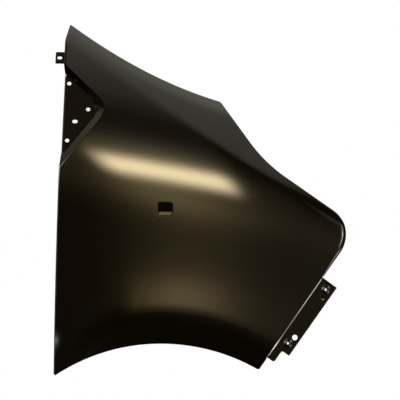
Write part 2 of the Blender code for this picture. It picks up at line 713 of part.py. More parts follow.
def add_tab(sheet, low, high):
    """Tab that stands off the door flange, with a slot across it."""
    a = np.array(low.co)
    b = np.array(high.co)
    plane = Plane(a, b - a, (-1.0, 0.0, 0.0))
    height = float(np.linalg.norm(b - a))
    corners = [(height, TAB_LENGTH), (0.0, TAB_LENGTH)]
    path = [fillet((height, 0.0), corners[0], corners[1], TAB_CORNER, 4),
            fillet(corners[0], corners[1], (0.0, 0.0), TAB_CORNER, 4)]
    outer = sheet.points(plane.at(np.vstack(path)))
    middle = np.array((0.5 * height, TAB_SLOT_REACH))
    slot = sheet.points(plane.at(slot_outline(*TAB_SLOT)[:, ::-1] + middle))
    hole = in_box(middle, 0.5 * TAB_SLOT[1], 0.5 * TAB_SLOT[0])
    sheet.plate([[low, high] + outer, slot], plane.flat, [hole])
    return plane


def build_panel():
    """The whole pressing as one surface. Gives the mesh and the bumper flange's plane."""
    sheet = Sheet()
    grid, rim, door = build_skin_grid()
    skin = lift(grid.reshape(-1, 2)).reshape(grid.shape[0], grid.shape[1], 3)
    points = [sheet.points(row) for row in skin]

    r0, r1, c0, c1 = add_lamp_recess(sheet, grid, points)
    for r in range(TOP_ROWS):
        for c in range(COLUMNS):
            if not (r0 <= r < r1 and c0 <= c < c1):
                sheet.face(points[r][c], points[r][c + 1], points[r + 1][c + 1], points[r + 1][c])

    edge = grid[0]
    out, inboard = out_and_in(edge, side_normals(edge, -1.0))
    rows = bend_rows(skin[0], out, inboard, np.full(len(edge), EDGE_BEND))
    turned_flange(sheet, points[0], rows + [rows[-1] + ARCH_FLANGE * inboard])

    edge = np.vstack((grid[:, -1], grid[-1, -2::-1]))
    start = lift(edge)
    out, inboard = out_and_in(edge, side_normals(edge, -1.0))
    chain = [row[-1] for row in points] + points[-1][-2::-1]
    rows = bend_rows(start, out, inboard, edge_bend(edge))
    last = turned_flange(sheet, chain, rows)
    corner = TOP_ROWS + COLUMNS - CORNER_COLUMN
    foot = slice(0, STRIP_FOOT_ROWS + 1)
    strip = slice(STRIP_FOOT_ROWS, STRIP_END_ROWS + 1)
    front = slice(STRIP_END_ROWS, corner + 1)
    bonnet = slice(corner + 1, len(chain) - 1)
    turned_flange(sheet, last[foot], [rows[-1][foot] + STRIP_STEP * inboard[foot]])
    turned_flange(sheet, last[front], [rows[-1][front] + FRONT_FLANGE * inboard[front]])
    strip_frame, level = add_bumper_flange(sheet, last[strip], rows[-1][strip], out[strip], inboard[strip])
    drop = rows[-1][bonnet] + BONNET_DROP * inboard[bonnet]
    ledge = drop + np.array((0.0, BONNET_LEDGE, 0.0))
    turned_flange(sheet, last[bonnet], [drop, ledge])

    beside = points[POCKET_START_ROWS:POCKET_END_ROWS + 1]
    open_end, floor_plane = add_pocket(sheet, [row[0] for row in beside], rim, door)
    path = ([row[0] for row in points[:POCKET_START_ROWS + 1]] + open_end[:-1]
            + [row[0] for row in points[POCKET_END_ROWS:]])
    places = np.array([v.co for v in path], dtype=float)
    slope = math.atan(2.0 * BOW_DEPTH * -DOOR_FOOT_X / BOW_HALF_LENGTH ** 2)
    out = np.tile((-math.cos(slope), math.sin(slope), 0.0), (len(path), 1))
    inboard = np.tile((math.sin(slope), math.cos(slope), 0.0), (len(path), 1))
    rows = bend_rows(places, out, inboard, np.full(len(path), EDGE_BEND))
    flange = turned_flange(sheet, path, rows + [rows[-1] + DOOR_FLANGE * inboard])
    k = len(path) - (TOP_ROWS - POCKET_END_ROWS + 1)
    tab_plane = add_tab(sheet, flange[k], flange[k + 1])
    face_outward(sheet.mesh)
    return sheet.mesh, strip_frame, level, floor_plane, tab_plane


def face_outward(mesh):
    """Weld the surface and turn all its faces to the outer side, which looks along -Y."""
    bmesh.ops.remove_doubles(mesh, verts=mesh.verts, dist=0.01)
    bmesh.ops.recalc_face_normals(mesh, faces=mesh.faces)
    if sum(face.normal.y * face.calc_area() for face in mesh.faces) > 0.0:
        bmesh.ops.reverse_faces(mesh, faces=mesh.faces)


def finish_mesh(name, mesh, origin):
    """Move a bmesh to the named origin, scale it to metres and make an object of it."""
    for v in mesh.verts:
        v.co = [(v.co[k] - origin[k]) * MM for k in range(3)]
    data = bpy.data.meshes.new(name)
    mesh.to_mesh(data)
    mesh.free()
    item = bpy.data.objects.new(name, data)
    bpy.context.scene.collection.objects.link(item)
    return item


def paint(name, colour, roughness, metallic):
    material = bpy.data.materials.new(name)
    material.use_nodes = True
    shader = material.node_tree.nodes["Principled BSDF"]
    shader.inputs["Base Color"].default_value = (*colour, 1.0)
    shader.inputs["Roughness"].default_value = roughness
    shader.inputs["Metallic"].default_value = metallic
    return material


def make_fender(origin, mesh):
    panel = finish_mesh("fender_panel", mesh, origin)
    wall = panel.modifiers.new("sheet", "SOLIDIFY")
    wall.thickness = SHEET * MM
    wall.offset = -1.0
    wall.use_even_offset = True
    panel.data.materials.append(paint("panel_primer", (0.018, 0.016, 0.012), 0.3, 0.0))
    panel.data.shade_smooth()
    panel.data.set_sharp_from_angle(angle=math.radians(SHARP_ANGLE))
    return panel


def make_nut(name, plane, centre, origin):
    """Hexagonal weld nut with a round pilot, on the back of its seat."""
    back = SEAT_RISE - SHEET - NUT_GAP
    radius = NUT_ACROSS_FLATS / math.sqrt(3.0)
    pilot = 0.5 * NUT_HOLE - NUT_PILOT_CLEARANCE
    bore = 0.5 * NUT_THREAD
    sides = NUT_SIDES
    rings = []
    mesh = bmesh.new()
    hexagon = hexagon_points(radius, sides)
    for outline, height in ((circle(bore, sides), SEAT_RISE - NUT_PILOT_STEP),
                            (circle(pilot, sides), SEAT_RISE - NUT_PILOT_STEP),
                            (circle(pilot, sides), back), (hexagon, back),
                            (hexagon, back - NUT_HEIGHT), (circle(bore, sides), back - NUT_HEIGHT)):
        rings.append([mesh.verts.new(p) for p in plane.at(outline + centre, height)])
    for k, ring in enumerate(rings):
        after = rings[(k + 1) % len(rings)]
        for j in range(sides):
            i = (j + 1) % sides
            mesh.faces.new((ring[j], ring[i], after[i], after[j]))
    bmesh.ops.recalc_face_normals(mesh, faces=mesh.faces)
    nut = finish_mesh(name, mesh, origin)
    nut.data.materials.append(paint(name + "_primer", (0.02, 0.018, 0.014), 0.4, 0.0))
    nut.data.shade_smooth()
    nut.data.set_sharp_from_angle(angle=math.radians(SHARP_ANGLE))
    return nut


def hexagon_points(radius, sides):
    """A hexagon cut into as many points as a ring has, at the same angles."""
    a = 2.0 * math.pi * np.arange(sides) / sides
    within = np.mod(a, math.pi / 3.0) - math.pi / 6.0
    reach = radius * math.cos(math.pi / 6.0) / np.cos(within)
    return np.column_stack((reach * np.cos(a), reach * np.sin(a)))


def main():
    for item in list(bpy.data.objects):
        bpy.data.objects.remove(item, do_unlink=True)
    mesh, plane, level, floor_plane, tab_plane = build_panel()
    along = 0.5 * (STRIP_HOLE_PLACE[0] + NUT_PLACES[1][0])
    origin = plane.at(np.array((along, level - 0.5 * STRIP_WIDTH)))[0]
    make_fender(origin, mesh)
    for name, (a, b) in zip(("lower_weld_nut", "upper_weld_nut"), NUT_PLACES):
        make_nut(name, plane, np.array((a, level - b)), origin)


main()
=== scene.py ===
import math
from functools import partial
import bmesh
import bpy
import numpy as np
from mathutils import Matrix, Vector
from mathutils.geometry import delaunay_2d_cdt


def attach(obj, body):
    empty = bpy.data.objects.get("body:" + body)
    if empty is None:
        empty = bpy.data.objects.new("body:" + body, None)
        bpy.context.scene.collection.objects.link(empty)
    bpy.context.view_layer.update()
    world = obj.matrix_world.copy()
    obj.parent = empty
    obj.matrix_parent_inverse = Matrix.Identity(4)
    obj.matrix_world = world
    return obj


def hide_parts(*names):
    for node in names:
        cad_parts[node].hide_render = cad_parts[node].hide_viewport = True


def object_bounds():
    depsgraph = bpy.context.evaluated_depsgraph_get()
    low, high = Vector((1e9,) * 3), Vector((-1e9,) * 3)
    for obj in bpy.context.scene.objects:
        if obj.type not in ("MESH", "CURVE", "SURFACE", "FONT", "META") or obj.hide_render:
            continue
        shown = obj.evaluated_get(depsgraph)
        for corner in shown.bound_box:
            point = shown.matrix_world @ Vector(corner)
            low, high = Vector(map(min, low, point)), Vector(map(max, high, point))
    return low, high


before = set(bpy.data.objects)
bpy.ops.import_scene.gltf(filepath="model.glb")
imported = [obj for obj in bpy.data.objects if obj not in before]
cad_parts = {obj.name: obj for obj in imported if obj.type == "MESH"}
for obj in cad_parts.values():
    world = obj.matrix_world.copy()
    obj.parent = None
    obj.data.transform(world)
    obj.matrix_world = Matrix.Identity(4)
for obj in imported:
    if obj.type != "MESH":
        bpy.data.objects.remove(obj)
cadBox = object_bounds()
print("frame loaded")

# Front right car fender in black primer. Lengths are in millimetres while a shape is worked out.
# The panel is drawn with the wheel centre as origin: x forward, z up, y inboard. makePanel then
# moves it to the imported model's origin, on the bumper flange, and makes it metres.

mm = 0.001
archTop = 419.0

sheet = {
    "thickness": 0.8, "edgeBend": 2.5, "noseBend": 12.5, "noseBendReach": 70.0, "noseBendFade": 90.0,
    "bendSteps": 6, "lineSteps": 240, "leastFall": 0.15, "weldGap": 0.02, "smoothAngle": 40.0,
}

sideView = {
    "doorFootX": -231.0, "bumperFootX": 210.0,
    "noseCorner": (424.0, archTop + 251.0), "noseRadius": 66.0,
    "headlampKnee": (224.0, archTop + 390.0), "headlampKneeRadius": 320.0,
    "bonnetCorner": (128.5, archTop + 522.0), "bonnetCornerRadius": 9.0, "bonnetSag": 16.0,
    "topTip": (-197.0, archTop + 690.5), "doorHead": (-207.5, archTop + 656.0),
    "doorHeadRadius": 45.0, "doorBow": 3.6,
}

form = {
    "bellyHeight": archTop + 222.0, "bellyFall": 0.22, "bellySlope": 0.052,
    "crownSlope": 1.5, "crownReach": 340.0, "bowDepth": 14.0, "bowHalfLength": 220.0,
    "flareRadius": archTop + 69.0, "flareSlope": 0.25, "flareSpan": 160.0, "flareBend": 20.0,
    "lipSlope": 0.65,
    "fadeStart": -60.0, "fadeLength": 150.0, "fadeRest": 0.25,
    "creaseHeight": archTop + 512.5, "creaseFall": 0.673, "creaseKneeX": 180.0, "creaseNoseFall": 0.60,
    "creaseKneeBend": 20.0, "creaseBend": 4.0, "creaseNoseBend": 15.0,
    "softStart": 235.0, "softLength": 170.0, "shoulderSlope": 1.3,
    "rollWidth": 21.0, "rollSlope": 0.6, "rollBend": 8.0,
    "rearRoll": 0.0036, "rearRollWidth": 30.0, "rearRollHeight": 427.0, "rearRollSpan": 32.0,
}

flanges = {"arch": 12.0, "door": 14.0, "front": 14.0, "bonnetDrop": 14.0, "bonnetLedge": 22.0}

trimSeat = {
    "lowerEnd": archTop + 379.0, "upperEnd": archTop + 604.0,
    "corner": (-109.6, archTop + 509.8), "radius": 37.0, "depth": 16.0,
    "lowerWall": 17.5, "upperWall": 14.2, "floorRadius": 30.0, "edgeInset": 4.0,
    "clipHole": 9.0,
    "clipHoles": ((-198.0, archTop + 561.0), (-157.0, archTop + 505.0), (-202.0, archTop + 438.0)),
    "slot": (11.5, 8.5), "slotPlace": (-185.3, archTop + 479.0), "wallSteps": 30, "openEdgeSteps": 24,
    "rimBend": 0.07, "bendRound": 0.015, "knee": 0.8, "kneeDrop": 9.5, "mostDrop": 0.9,
    "gentleEnd": 31, "gentleFade": 13.0,
}

rearTab = {"height": 25.0, "length": 20.5, "corner": 3.0, "slot": (10.8, 8.5), "slotReach": 11.5}

sideLamp = {
    "centre": (9.7, archTop + 290.0), "width": 30.5, "height": 29.0, "corner": 0.7, "depth": 6.2,
    "sideDraft": 1.8, "footDraft": 8.7, "footKnee": (0.15, 0.61), "footRound": 1.6, "lean": 0.2,
    "margin": 5.0, "collars": (3.2, 1.6, 0.7), "rimSink": 0.05, "wallSteps": 16,
}

bumperFlange = {
    "start": 31.0, "length": 208.5, "step": 3.0, "facetTurn": 40.0, "facet": 2.3, "facetBend": 1.2,
    "width": 35.8, "footLength": 30.5, "footWidth": 17.0,
    "footCorner": 5.0, "notchRadius": 5.0, "corner": 1.5, "hole": 12.0, "holePlace": (70.0, 23.2),
    "nutPlaces": ((51.2, 18.3), (193.8, 18.3)), "nutHole": 10.0,
    "seatFoot": 9.8, "seatTop": 5.6, "seatRise": 2.0, "seatMargin": 0.8, "seatSteps": 16,
    "dimplePlace": (174.0, 24.0), "dimpleRadius": 5.4, "dimpleDepth": 0.85, "dimpleSteps": 8,
}

grid = {
    "columns": 150, "cornerColumn": 80, "lipRows": 16, "stripFootRow": 8, "midRows": 104, "shoulderRows": 34,
    "pocketStart": 54, "pocketTip": 26, "pocketEnd": 106, "tabCells": 6, "stripEnd": 62, "noseStart": 84,
    "bonnetEnds": (4, 5), "crowd": 1.3, "doorCrowd": 1.2, "ringSides": 48,
}


# Lines and small helpers

def floats(*values):
    return [np.asarray(v, dtype=float) for v in values]


def unit(v):
    v = np.asarray(v, dtype=float)
    return v / np.linalg.norm(v, axis=-1, keepdims=True)


def shares(cells):
    return np.linspace(0.0, 1.0, cells + 1)


def spokes(turn):
    return np.column_stack((np.cos(turn), np.sin(turn)))


# zero below, t above and a turn of the given radius between: half of t, plus half the root of
# t squared plus radius squared
def ramp(t, radius):
    return 0.5 * (t + np.sqrt(t * t + radius * radius))


# smooth step from nought to one: three times the square less twice the cube
def ease(s):
    s = np.clip(s, 0.0, 1.0)
    return s * s * (3.0 - 2.0 * s)


# arc between two straight lines: the centre plus the two end spokes, mixed by sines of the swept angle
def fillet(before, corner, after, radius, steps=24):
    before, corner, after = floats(before, corner, after)
    u = unit(before - corner)
    v = unit(after - corner)
    half = 0.5 * math.acos(float(np.clip(np.dot(u, v), -1.0, 1.0)))
    centre = corner + unit(u + v) * radius / math.sin(half)
    a = corner + u * radius / math.tan(half) - centre
    b = corner + v * radius / math.tan(half) - centre
    sweep = math.pi - 2.0 * half
    t = shares(steps)[:, None]
    return centre + (a * np.sin((1.0 - t) * sweep) + b * np.sin(t * sweep)) / math.sin(sweep)


# points at equal steps of a path's length, or at given fractions of it
def through(path, places):
    path = np.asarray(path, dtype=float)
    run = np.concatenate(([0.0], np.cumsum(np.linalg.norm(np.diff(path, axis=0), axis=1))))
    if np.ndim(places) == 0:
        places = shares(places)
    at = np.asarray(places) * run[-1]
    return np.column_stack([np.interp(at, run, path[:, k]) for k in range(path.shape[1])])


def inset(path, distance):  # moved to the left of its own direction, by the unit normal times the distance
    ahead = np.gradient(path, axis=0)
    left = unit(np.column_stack((-ahead[:, 1], ahead[:, 0])))
    return path + np.asarray(distance).reshape(-1, 1) * left


def meet(a, b, c, d):  # where the line a-b crosses the line c-d
    a, b, c, d = floats(a, b, c, d)
    return a + (b - a) * np.linalg.solve(np.column_stack((b - a, c - d)), c - a)[0]


def cross(path, a, b):  # where a path first crosses the line a-b
    ahead = b - a
    side = (path[:, 0] - a[0]) * ahead[1] - (path[:, 1] - a[1]) * ahead[0]
    k = int(np.nonzero(side[:-1] * side[1:] <= 0.0)[0][0])
    return meet(a, b, path[k], path[k + 1])


def cutAt(path, test):  # two parts of a path, which share the first point that passes the test
    k = int(np.argmax(test))
    return path[:k + 1], path[k:]


def joined(parts):  # one path from parts that share their end points
    return np.vstack([parts[0]] + [p[1:] for p in parts[1:]])


# cell places that crowd towards the end (or the start) of a stretch, by a power of the fraction
def crowded(cells, power, atStart=False):
    t = shares(cells)
    return t ** power if atStart else 1.0 - (1.0 - t) ** power


# The skin's form, one depth for each place of the side view

# the crease falls in a straight line, and a little slower past a knee
def creaseHeight(x):
    past = ramp(x - form["creaseKneeX"], form["creaseKneeBend"])
    slower = form["creaseFall"] - form["creaseNoseFall"]
    return form["creaseHeight"] - form["creaseFall"] * x + slower * past


# bonnet edge: its chord less a parabola of the named sag
def bonnetHeight(x):
    ax, az = sideView["topTip"]
    bx, bz = sideView["bonnetCorner"]
    s = (x - ax) / (bx - ax)
    dip = 4.0 * sideView["bonnetSag"] / math.cos(math.atan2(az - bz, bx - ax))
    return az + (bz - az) * s - dip * s * (1.0 - s)


def archHeight(x):  # on the wheel arch's circle
    return math.sqrt(archTop ** 2 - x ** 2)


# door edge: its chord less a parabola of the named bow
def doorX(z):
    v = sideView
    low = archHeight(v["doorFootX"])
    s = (z - low) / (v["doorHead"][1] - low)
    return v["doorFootX"] + (v["doorHead"][0] - v["doorFootX"]) * s - 4.0 * v["doorBow"] * s * (1.0 - s)


# slope of the crown at a height over the belly: its share of the full slope is the height squared
# over that plus the reach squared
def crownSlope(t):
    t = np.maximum(t, 0.0)
    return form["bellySlope"] + form["crownSlope"] * t * t / (form["crownReach"] ** 2 + t * t)


# depth inboard: the belly's slope, the crown as the sum of its slope, the bow as a square along the
# car, a ramp at the crease, a roll at the rear edge as a square times a bell in height, a ramp at the
# bonnet edge, the flare's swell as a cube of what is left of its span, and a ramp for its lip
def depth(x, z):
    x, z = floats(x, z)
    f = form
    belly = f["bellyHeight"] - f["bellyFall"] * x
    t = z - belly
    up = np.maximum(t, 0.0)
    reach = f["crownReach"]
    d = f["bellySlope"] * t + f["crownSlope"] * (up - reach * np.arctan(up / reach))
    d = d + f["bowDepth"] * (x / f["bowHalfLength"]) ** 2
    crease = creaseHeight(x)
    bend = f["creaseBend"] + f["creaseNoseBend"] * ease((x - f["softStart"]) / f["softLength"])
    d = d + (f["shoulderSlope"] - crownSlope(crease - belly)) * ramp(z - crease, bend)
    near = np.exp(-((z - f["rearRollHeight"]) / f["rearRollSpan"]) ** 2)
    d = d + f["rearRoll"] * near * np.clip(doorX(z) + f["rearRollWidth"] - x, 0.0, None) ** 2
    d = d + f["rollSlope"] * ramp(z - bonnetHeight(x) + f["rollWidth"], f["rollBend"])
    strength = 1.0 - (1.0 - f["fadeRest"]) * ease((f["fadeStart"] - x) / f["fadeLength"])
    above = np.hypot(x, z) - f["flareRadius"]
    span = f["flareSpan"]
    swell = np.clip(1.0 - above / span, 0.0, None) ** 3
    overLip = np.minimum(swell, 1.0 + 3.0 * np.maximum(-above, 0.0) / span)
    d = d - f["flareSlope"] * strength * span / 3.0 * overLip
    return d + f["lipSlope"] * strength * ramp(-above, f["flareBend"] / strength)


def lift(points):  # side view points with the form's depth
    p = np.asarray(points, dtype=float)
    return np.stack((p[..., 0], depth(p[..., 0], p[..., 1]), p[..., 1]), axis=-1)


# The panel's edges in the side view

# radius of the front edge's bend: the nose's own near the nose, the plain one past a smooth fade
def edgeBend(path):
    away = np.hypot(path[:, 0] - sideView["noseCorner"][0], path[:, 1] - sideView["noseCorner"][1])
    near = ease((sheet["noseBendReach"] + sheet["noseBendFade"] - away) / sheet["noseBendFade"])
    return sheet["edgeBend"] + (sheet["noseBend"] - sheet["edgeBend"]) * near


# the way off the edge, to the right of its direction and along the skin, and the inboard way square to it
def outAndIn(edge):
    ahead = np.gradient(edge, axis=0)
    away = unit(np.column_stack((ahead[:, 1], -ahead[:, 0])))
    d = (depth(edge[:, 0] + 0.5 * away[:, 0], edge[:, 1] + 0.5 * away[:, 1])
         - depth(edge[:, 0] - 0.5 * away[:, 0], edge[:, 1] - 0.5 * away[:, 1]))
    out = unit(np.column_stack((away[:, 0], d, away[:, 1])))
    return out, unit(np.array((0.0, 1.0, 0.0)) - out * out[:, 1:2])


def bendReach(path):  # how far a bend reaches off the edge in the side view
    out, _ = outAndIn(path)
    return edgeBend(path) * (1.0 - np.clip(out[:, 1], 0.0, None))


# arch, front, top and door lines, moved in by what their bends add outside
def sideLines():
    v = sideView
    n = sheet["lineSteps"]
    radius = archTop + sheet["edgeBend"]
    foot = np.array((v["bumperFootX"], archHeight(v["bumperFootX"])))
    heel = np.array((v["doorFootX"], archHeight(v["doorFootX"])))
    turn = np.linspace(math.atan2(heel[1], heel[0]), math.atan2(foot[1], foot[0]), 2 * n)
    arch = radius * spokes(turn)

    nose = fillet(foot, v["noseCorner"], v["headlampKnee"], v["noseRadius"], 60)
    front = np.vstack((through((foot, nose[0]), n), nose[1:]))
    knee = fillet(v["noseCorner"], v["headlampKnee"], v["bonnetCorner"], v["headlampKneeRadius"], 60)
    corner = fillet(v["headlampKnee"], v["bonnetCorner"], v["topTip"], v["bonnetCornerRadius"], 12)
    lamp = np.vstack((through((nose[-1], knee[0]), n), knee[1:], through((knee[-1], corner[0]), n)[1:]))
    x = np.linspace(corner[-1][0], v["topTip"][0], n)
    bonnet = np.vstack((corner, np.column_stack((x, bonnetHeight(x)))[1:]))

    heights = np.linspace(heel[1], v["doorHead"][1], n)
    door = np.column_stack((doorX(heights), heights))
    head = fillet(door[-2], door[-1], v["topTip"], v["doorHeadRadius"])
    door = np.vstack((door[door[:, 1] < head[0][1] - 1.0], head))
    head = through((head[-1], v["topTip"]), 8)

    front = inset(front, bendReach(front))
    lamp = inset(lamp, bendReach(lamp))
    bonnet = inset(bonnet, bendReach(bonnet))
    door = inset(door, -sheet["edgeBend"])
    head = inset(head, -sheet["edgeBend"])
    tip = meet(bonnet[-2], bonnet[-1], head[-2], head[-1])
    bonnet = np.vstack((bonnet[bonnet[:, 0] > tip[0] + 1.0], tip))
    door = np.vstack((door, head[1:-1], tip))
    heel = np.array((door[0][0], math.sqrt(radius ** 2 - door[0][0] ** 2)))
    door = np.vstack((heel, door[door[:, 1] > heel[1] + 1.0]))
    foot = meet(front[0], front[1], arch[-1], arch[-2])
    front = np.vstack((foot, front[front[:, 1] > foot[1] + 1.0]))
    arch = np.vstack((heel, arch[(arch[:, 0] > heel[0] + 1.0) & (arch[:, 0] < foot[0] - 1.0)], foot))
    lamp[0] = front[-1]
    return arch, front, np.vstack((tip, bonnet[::-1][1:], lamp[::-1])), door


def atHeight(door, z):
    return np.array((np.interp(z, door[:, 1], door[:, 0]), z))


def seatRim(door):  # three stretches: lower line, tip and upper line
    t = trimSeat
    low, high = atHeight(door, t["lowerEnd"]), atHeight(door, t["upperEnd"])
    tip = fillet(low, t["corner"], high, t["radius"])
    return [np.vstack((low, tip[0])), tip, np.vstack((tip[-1], high))]


def seatFloorEdge(rim, door):  # the rim's two lines moved in by the walls' widths, with the floor's own tip
    t = trimSeat
    low, high = rim[0][0], rim[-1][-1]
    corner = np.asarray(t["corner"])
    nLow = unit(np.array((low[1] - corner[1], corner[0] - low[0]))) * t["lowerWall"]
    nHigh = unit(np.array((corner[1] - high[1], high[0] - corner[0]))) * t["upperWall"]
    inner = meet(low + nLow, corner + nLow, high + nHigh, corner + nHigh)
    openEdge = door + np.array((t["edgeInset"], 0.0))
    a = cross(openEdge, low + nLow, corner + nLow)
    b = cross(openEdge, high + nHigh, corner + nHigh)
    tip = fillet(a, inner, b, t["floorRadius"])
    return [np.vstack((a, tip[0])), tip, np.vstack((tip[-1], b))]


def seatPlaces(stretches):  # cells of the lower line, the tip and the upper line
    cells = grid["pocketEnd"] - grid["pocketStart"]
    side = (cells - grid["pocketTip"]) // 2
    counts = (side, grid["pocketTip"], cells - grid["pocketTip"] - side)
    return joined([through(s, n) for s, n in zip(stretches, counts)])


# grid between four sides: the ruled surface of each pair of sides, added, less the four corners' own patch
def coons(bottom, top, left, right):
    u = shares(len(bottom) - 1)[None, :, None]
    v = shares(len(left) - 1)[:, None, None]
    ruled = (1.0 - v) * bottom[None] + v * top[None] + (1.0 - u) * left[:, None] + u * right[:, None]
    return ruled - ((1.0 - u) * (1.0 - v) * bottom[0] + u * (1.0 - v) * bottom[-1]
                    + (1.0 - u) * v * top[0] + u * v * top[-1])


# three grids in the side view that share rows: lip, side and shoulder, each between four lines
def skinGrid():
    arch, front, top, door = sideLines()
    g = grid
    lipRow = g["lipRows"]
    creaseRow = lipRow + g["midRows"]
    flare = form["flareRadius"]
    doorLow, doorRest = cutAt(door, np.hypot(*door.T) >= flare)
    frontLow, frontRest = cutAt(front, np.hypot(*front.T) >= flare)
    frontMid, frontTop = cutAt(frontRest, frontRest[:, 1] >= creaseHeight(frontRest[:, 0]))
    doorMid, doorTop = cutAt(doorRest, doorRest[:, 1] >= creaseHeight(doorRest[:, 0]))

    b = bumperFlange
    along = unit(front[20] - front[0])
    footRun = front[0] + along * b["start"]
    headRun = front[0] + along * (b["start"] + b["length"])
    bend = frontMid[frontMid[:, 1] > headRun[1] + 1.0]
    straight, arc = cutAt(bend, bend[:, 1] >= sideView["noseCorner"][1] - sideView["noseRadius"])
    right = [through((front[0], footRun), g["stripFootRow"]),
             through((footRun, frontLow[-1]), lipRow - g["stripFootRow"]),
             through((frontLow[-1], headRun), g["stripEnd"] - lipRow),
             through(np.vstack((headRun, straight)), g["noseStart"] - g["stripEnd"]),
             through(arc, crowded(creaseRow - g["noseStart"], g["crowd"])),
             through(frontTop, crowded(g["shoulderRows"], g["crowd"], True))]

    rim = seatRim(door)
    rimPlaces = seatPlaces(rim)
    low, high = rimPlaces[0], rimPlaces[-1]
    below = np.vstack((doorMid[doorMid[:, 1] < low[1] - 1.0], low))
    tabHead = atHeight(door, trimSeat["upperEnd"] + rearTab["height"])
    over = np.vstack((tabHead, doorMid[doorMid[:, 1] > tabHead[1] + 1.0]))
    left = [through(doorLow, lipRow),
            through(below, g["pocketStart"] - lipRow),
            rimPlaces,
            through((high, tabHead), g["tabCells"]),
            through(over, crowded(creaseRow - g["pocketEnd"] - g["tabCells"], g["doorCrowd"])),
            through(doorTop, crowded(g["shoulderRows"], g["crowd"], True))]
    left, right = joined(left), joined(right)

    n = g["columns"]
    lipLeft, lipRight = left[lipRow], right[lipRow]
    turn = np.linspace(math.atan2(lipLeft[1], lipLeft[0]), math.atan2(lipRight[1], lipRight[0]), n + 1)
    flareRow = flare * spokes(turn)
    flareRow[0], flareRow[-1] = lipLeft, lipRight
    x = np.linspace(left[creaseRow][0], right[creaseRow][0], 4 * n)
    creaseLine = through(np.column_stack((x, creaseHeight(x))), n)
    creaseLine[0], creaseLine[-1] = left[creaseRow], right[creaseRow]
    bonnet, lamp = cutAt(top, top[:, 0] >= sideView["bonnetCorner"][0])
    topRow = joined([through(bonnet, g["cornerColumn"]), through(lamp, n - g["cornerColumn"])])

    lip = coons(through(arch, n), flareRow, left[:lipRow + 1], right[:lipRow + 1])
    mid = coons(flareRow, creaseLine, left[lipRow:creaseRow + 1], right[lipRow:creaseRow + 1])
    high = coons(creaseLine, topRow, left[creaseRow:], right[creaseRow:])
    return np.vstack((lip, mid[1:], high[1:])), rim, door


# Collecting the panel's surfaces

panel = {"points": [], "faces": [], "smooth": [], "count": 0}


def gridFaces(rows, columns):
    base = np.arange(rows * columns).reshape(rows, columns)
    return np.stack((base[:-1, :-1], base[:-1, 1:], base[1:, 1:], base[1:, :-1]), axis=-1)


def addGrid(points, keep=None):  # rows by columns of places, with an optional mask of the cells to keep
    rows, columns = points.shape[:2]
    faces = panel["count"] + gridFaces(rows, columns)
    faces = faces[keep] if keep is not None else faces.reshape(-1, 4)
    panel["points"].append(points.reshape(-1, 3))
    panel["faces"] += faces.tolist()
    panel["smooth"] += [True] * len(faces)
    panel["count"] += rows * columns


# a plate between loops, triangulated in its own plane; a face whose middle passes a hole's test is left out
def addPlate(loops, flats, holes, smooth=False):
    flat = np.vstack(flats)
    edges = []
    first = 0
    for loop in flats:
        ring = first + np.arange(len(loop))
        edges += np.column_stack((ring, np.roll(ring, -1))).tolist()
        first += len(loop)
    places, _, faces, origin, _, _ = delaunay_2d_cdt([Vector(p) for p in flat], edges, [], 1, 1e-6)
    kept = []
    for face in faces:
        middle = sum((places[k] for k in face), Vector((0.0, 0.0))) / len(face)
        if not any(hole(middle) for hole in holes):
            kept.append([panel["count"] + origin[k][0] for k in face])
    panel["points"].append(np.vstack(loops))
    panel["faces"] += kept
    panel["smooth"] += [smooth] * len(kept)
    panel["count"] += len(flat)


def circle(radius, sides=grid["ringSides"]):  # radius times the cosine and sine of even turns
    return radius * spokes(2.0 * math.pi * np.arange(sides) / sides)


def slotOutline(length, width, sides=12):  # two half circles, moved apart by length less width
    end = 0.5 * width * spokes(np.linspace(-0.5 * math.pi, 0.5 * math.pi, sides + 1))
    half = 0.5 * (length - width)
    return np.vstack((end + (half, 0.0), -end - (half, 0.0)))


def roundedBox(halfX, low, high, radius, steps=6):  # a box with a fillet at each corner
    box = [(-halfX, low), (halfX, low), (halfX, high), (-halfX, high)]
    return np.vstack([fillet(box[k - 1], box[k], box[(k + 1) % 4], radius, steps) for k in range(4)])


def inCircle(centre, radius):
    return lambda p: math.hypot(p[0] - centre[0], p[1] - centre[1]) < radius


def inBox(centre, halfX, halfY):
    return lambda p: abs(p[0] - centre[0]) < halfX and abs(p[1] - centre[1]) < halfY


# a hole in a plate: its outline joins the plate's loops, with the test of what lies inside it
def cutOut(plane, plate, outline, inside):
    plate["flats"].append(outline)
    plate["loops"].append(plane.at(outline))
    plate["holes"].append(inside)


def cutRound(plane, plate, place, radius):
    cutOut(plane, plate, circle(radius) + place, inCircle(place, radius))


class Plane:  # a flat place in space with two axes of its own
    def __init__(self, origin, first, second):
        self.origin = np.asarray(origin, dtype=float)
        self.first = unit(first)
        second = np.asarray(second, dtype=float)
        self.second = unit(second - self.first * np.dot(second, self.first))
        self.normal = np.cross(self.first, self.second)

    def at(self, flat, height=0.0):  # origin plus each flat part times its axis plus height times the normal
        flat = np.atleast_2d(flat)
        return (self.origin + flat[..., :1] * self.first + flat[..., 1:2] * self.second
                + np.asarray(height)[..., None] * self.normal)

    def flat(self, places):  # the places' parts along the two axes
        d = np.atleast_2d(places) - self.origin
        return np.column_stack((d @ self.first, d @ self.second))

    def under(self, points):  # side view points moved inboard onto the plane
        p = np.atleast_2d(points)
        n = self.normal
        lean = n[0] * (p[:, 0] - self.origin[0]) + n[2] * (p[:, 1] - self.origin[2])
        return np.column_stack((p[:, 0], self.origin[1] - lean / n[1], p[:, 1]))

    def along(self, places, ways):  # places moved onto the plane along their own ways
        fall = ((self.origin - places) * self.normal).sum(axis=1) / (ways @ self.normal)
        return places + ways * np.maximum(fall, sheet["leastFall"])[:, None]


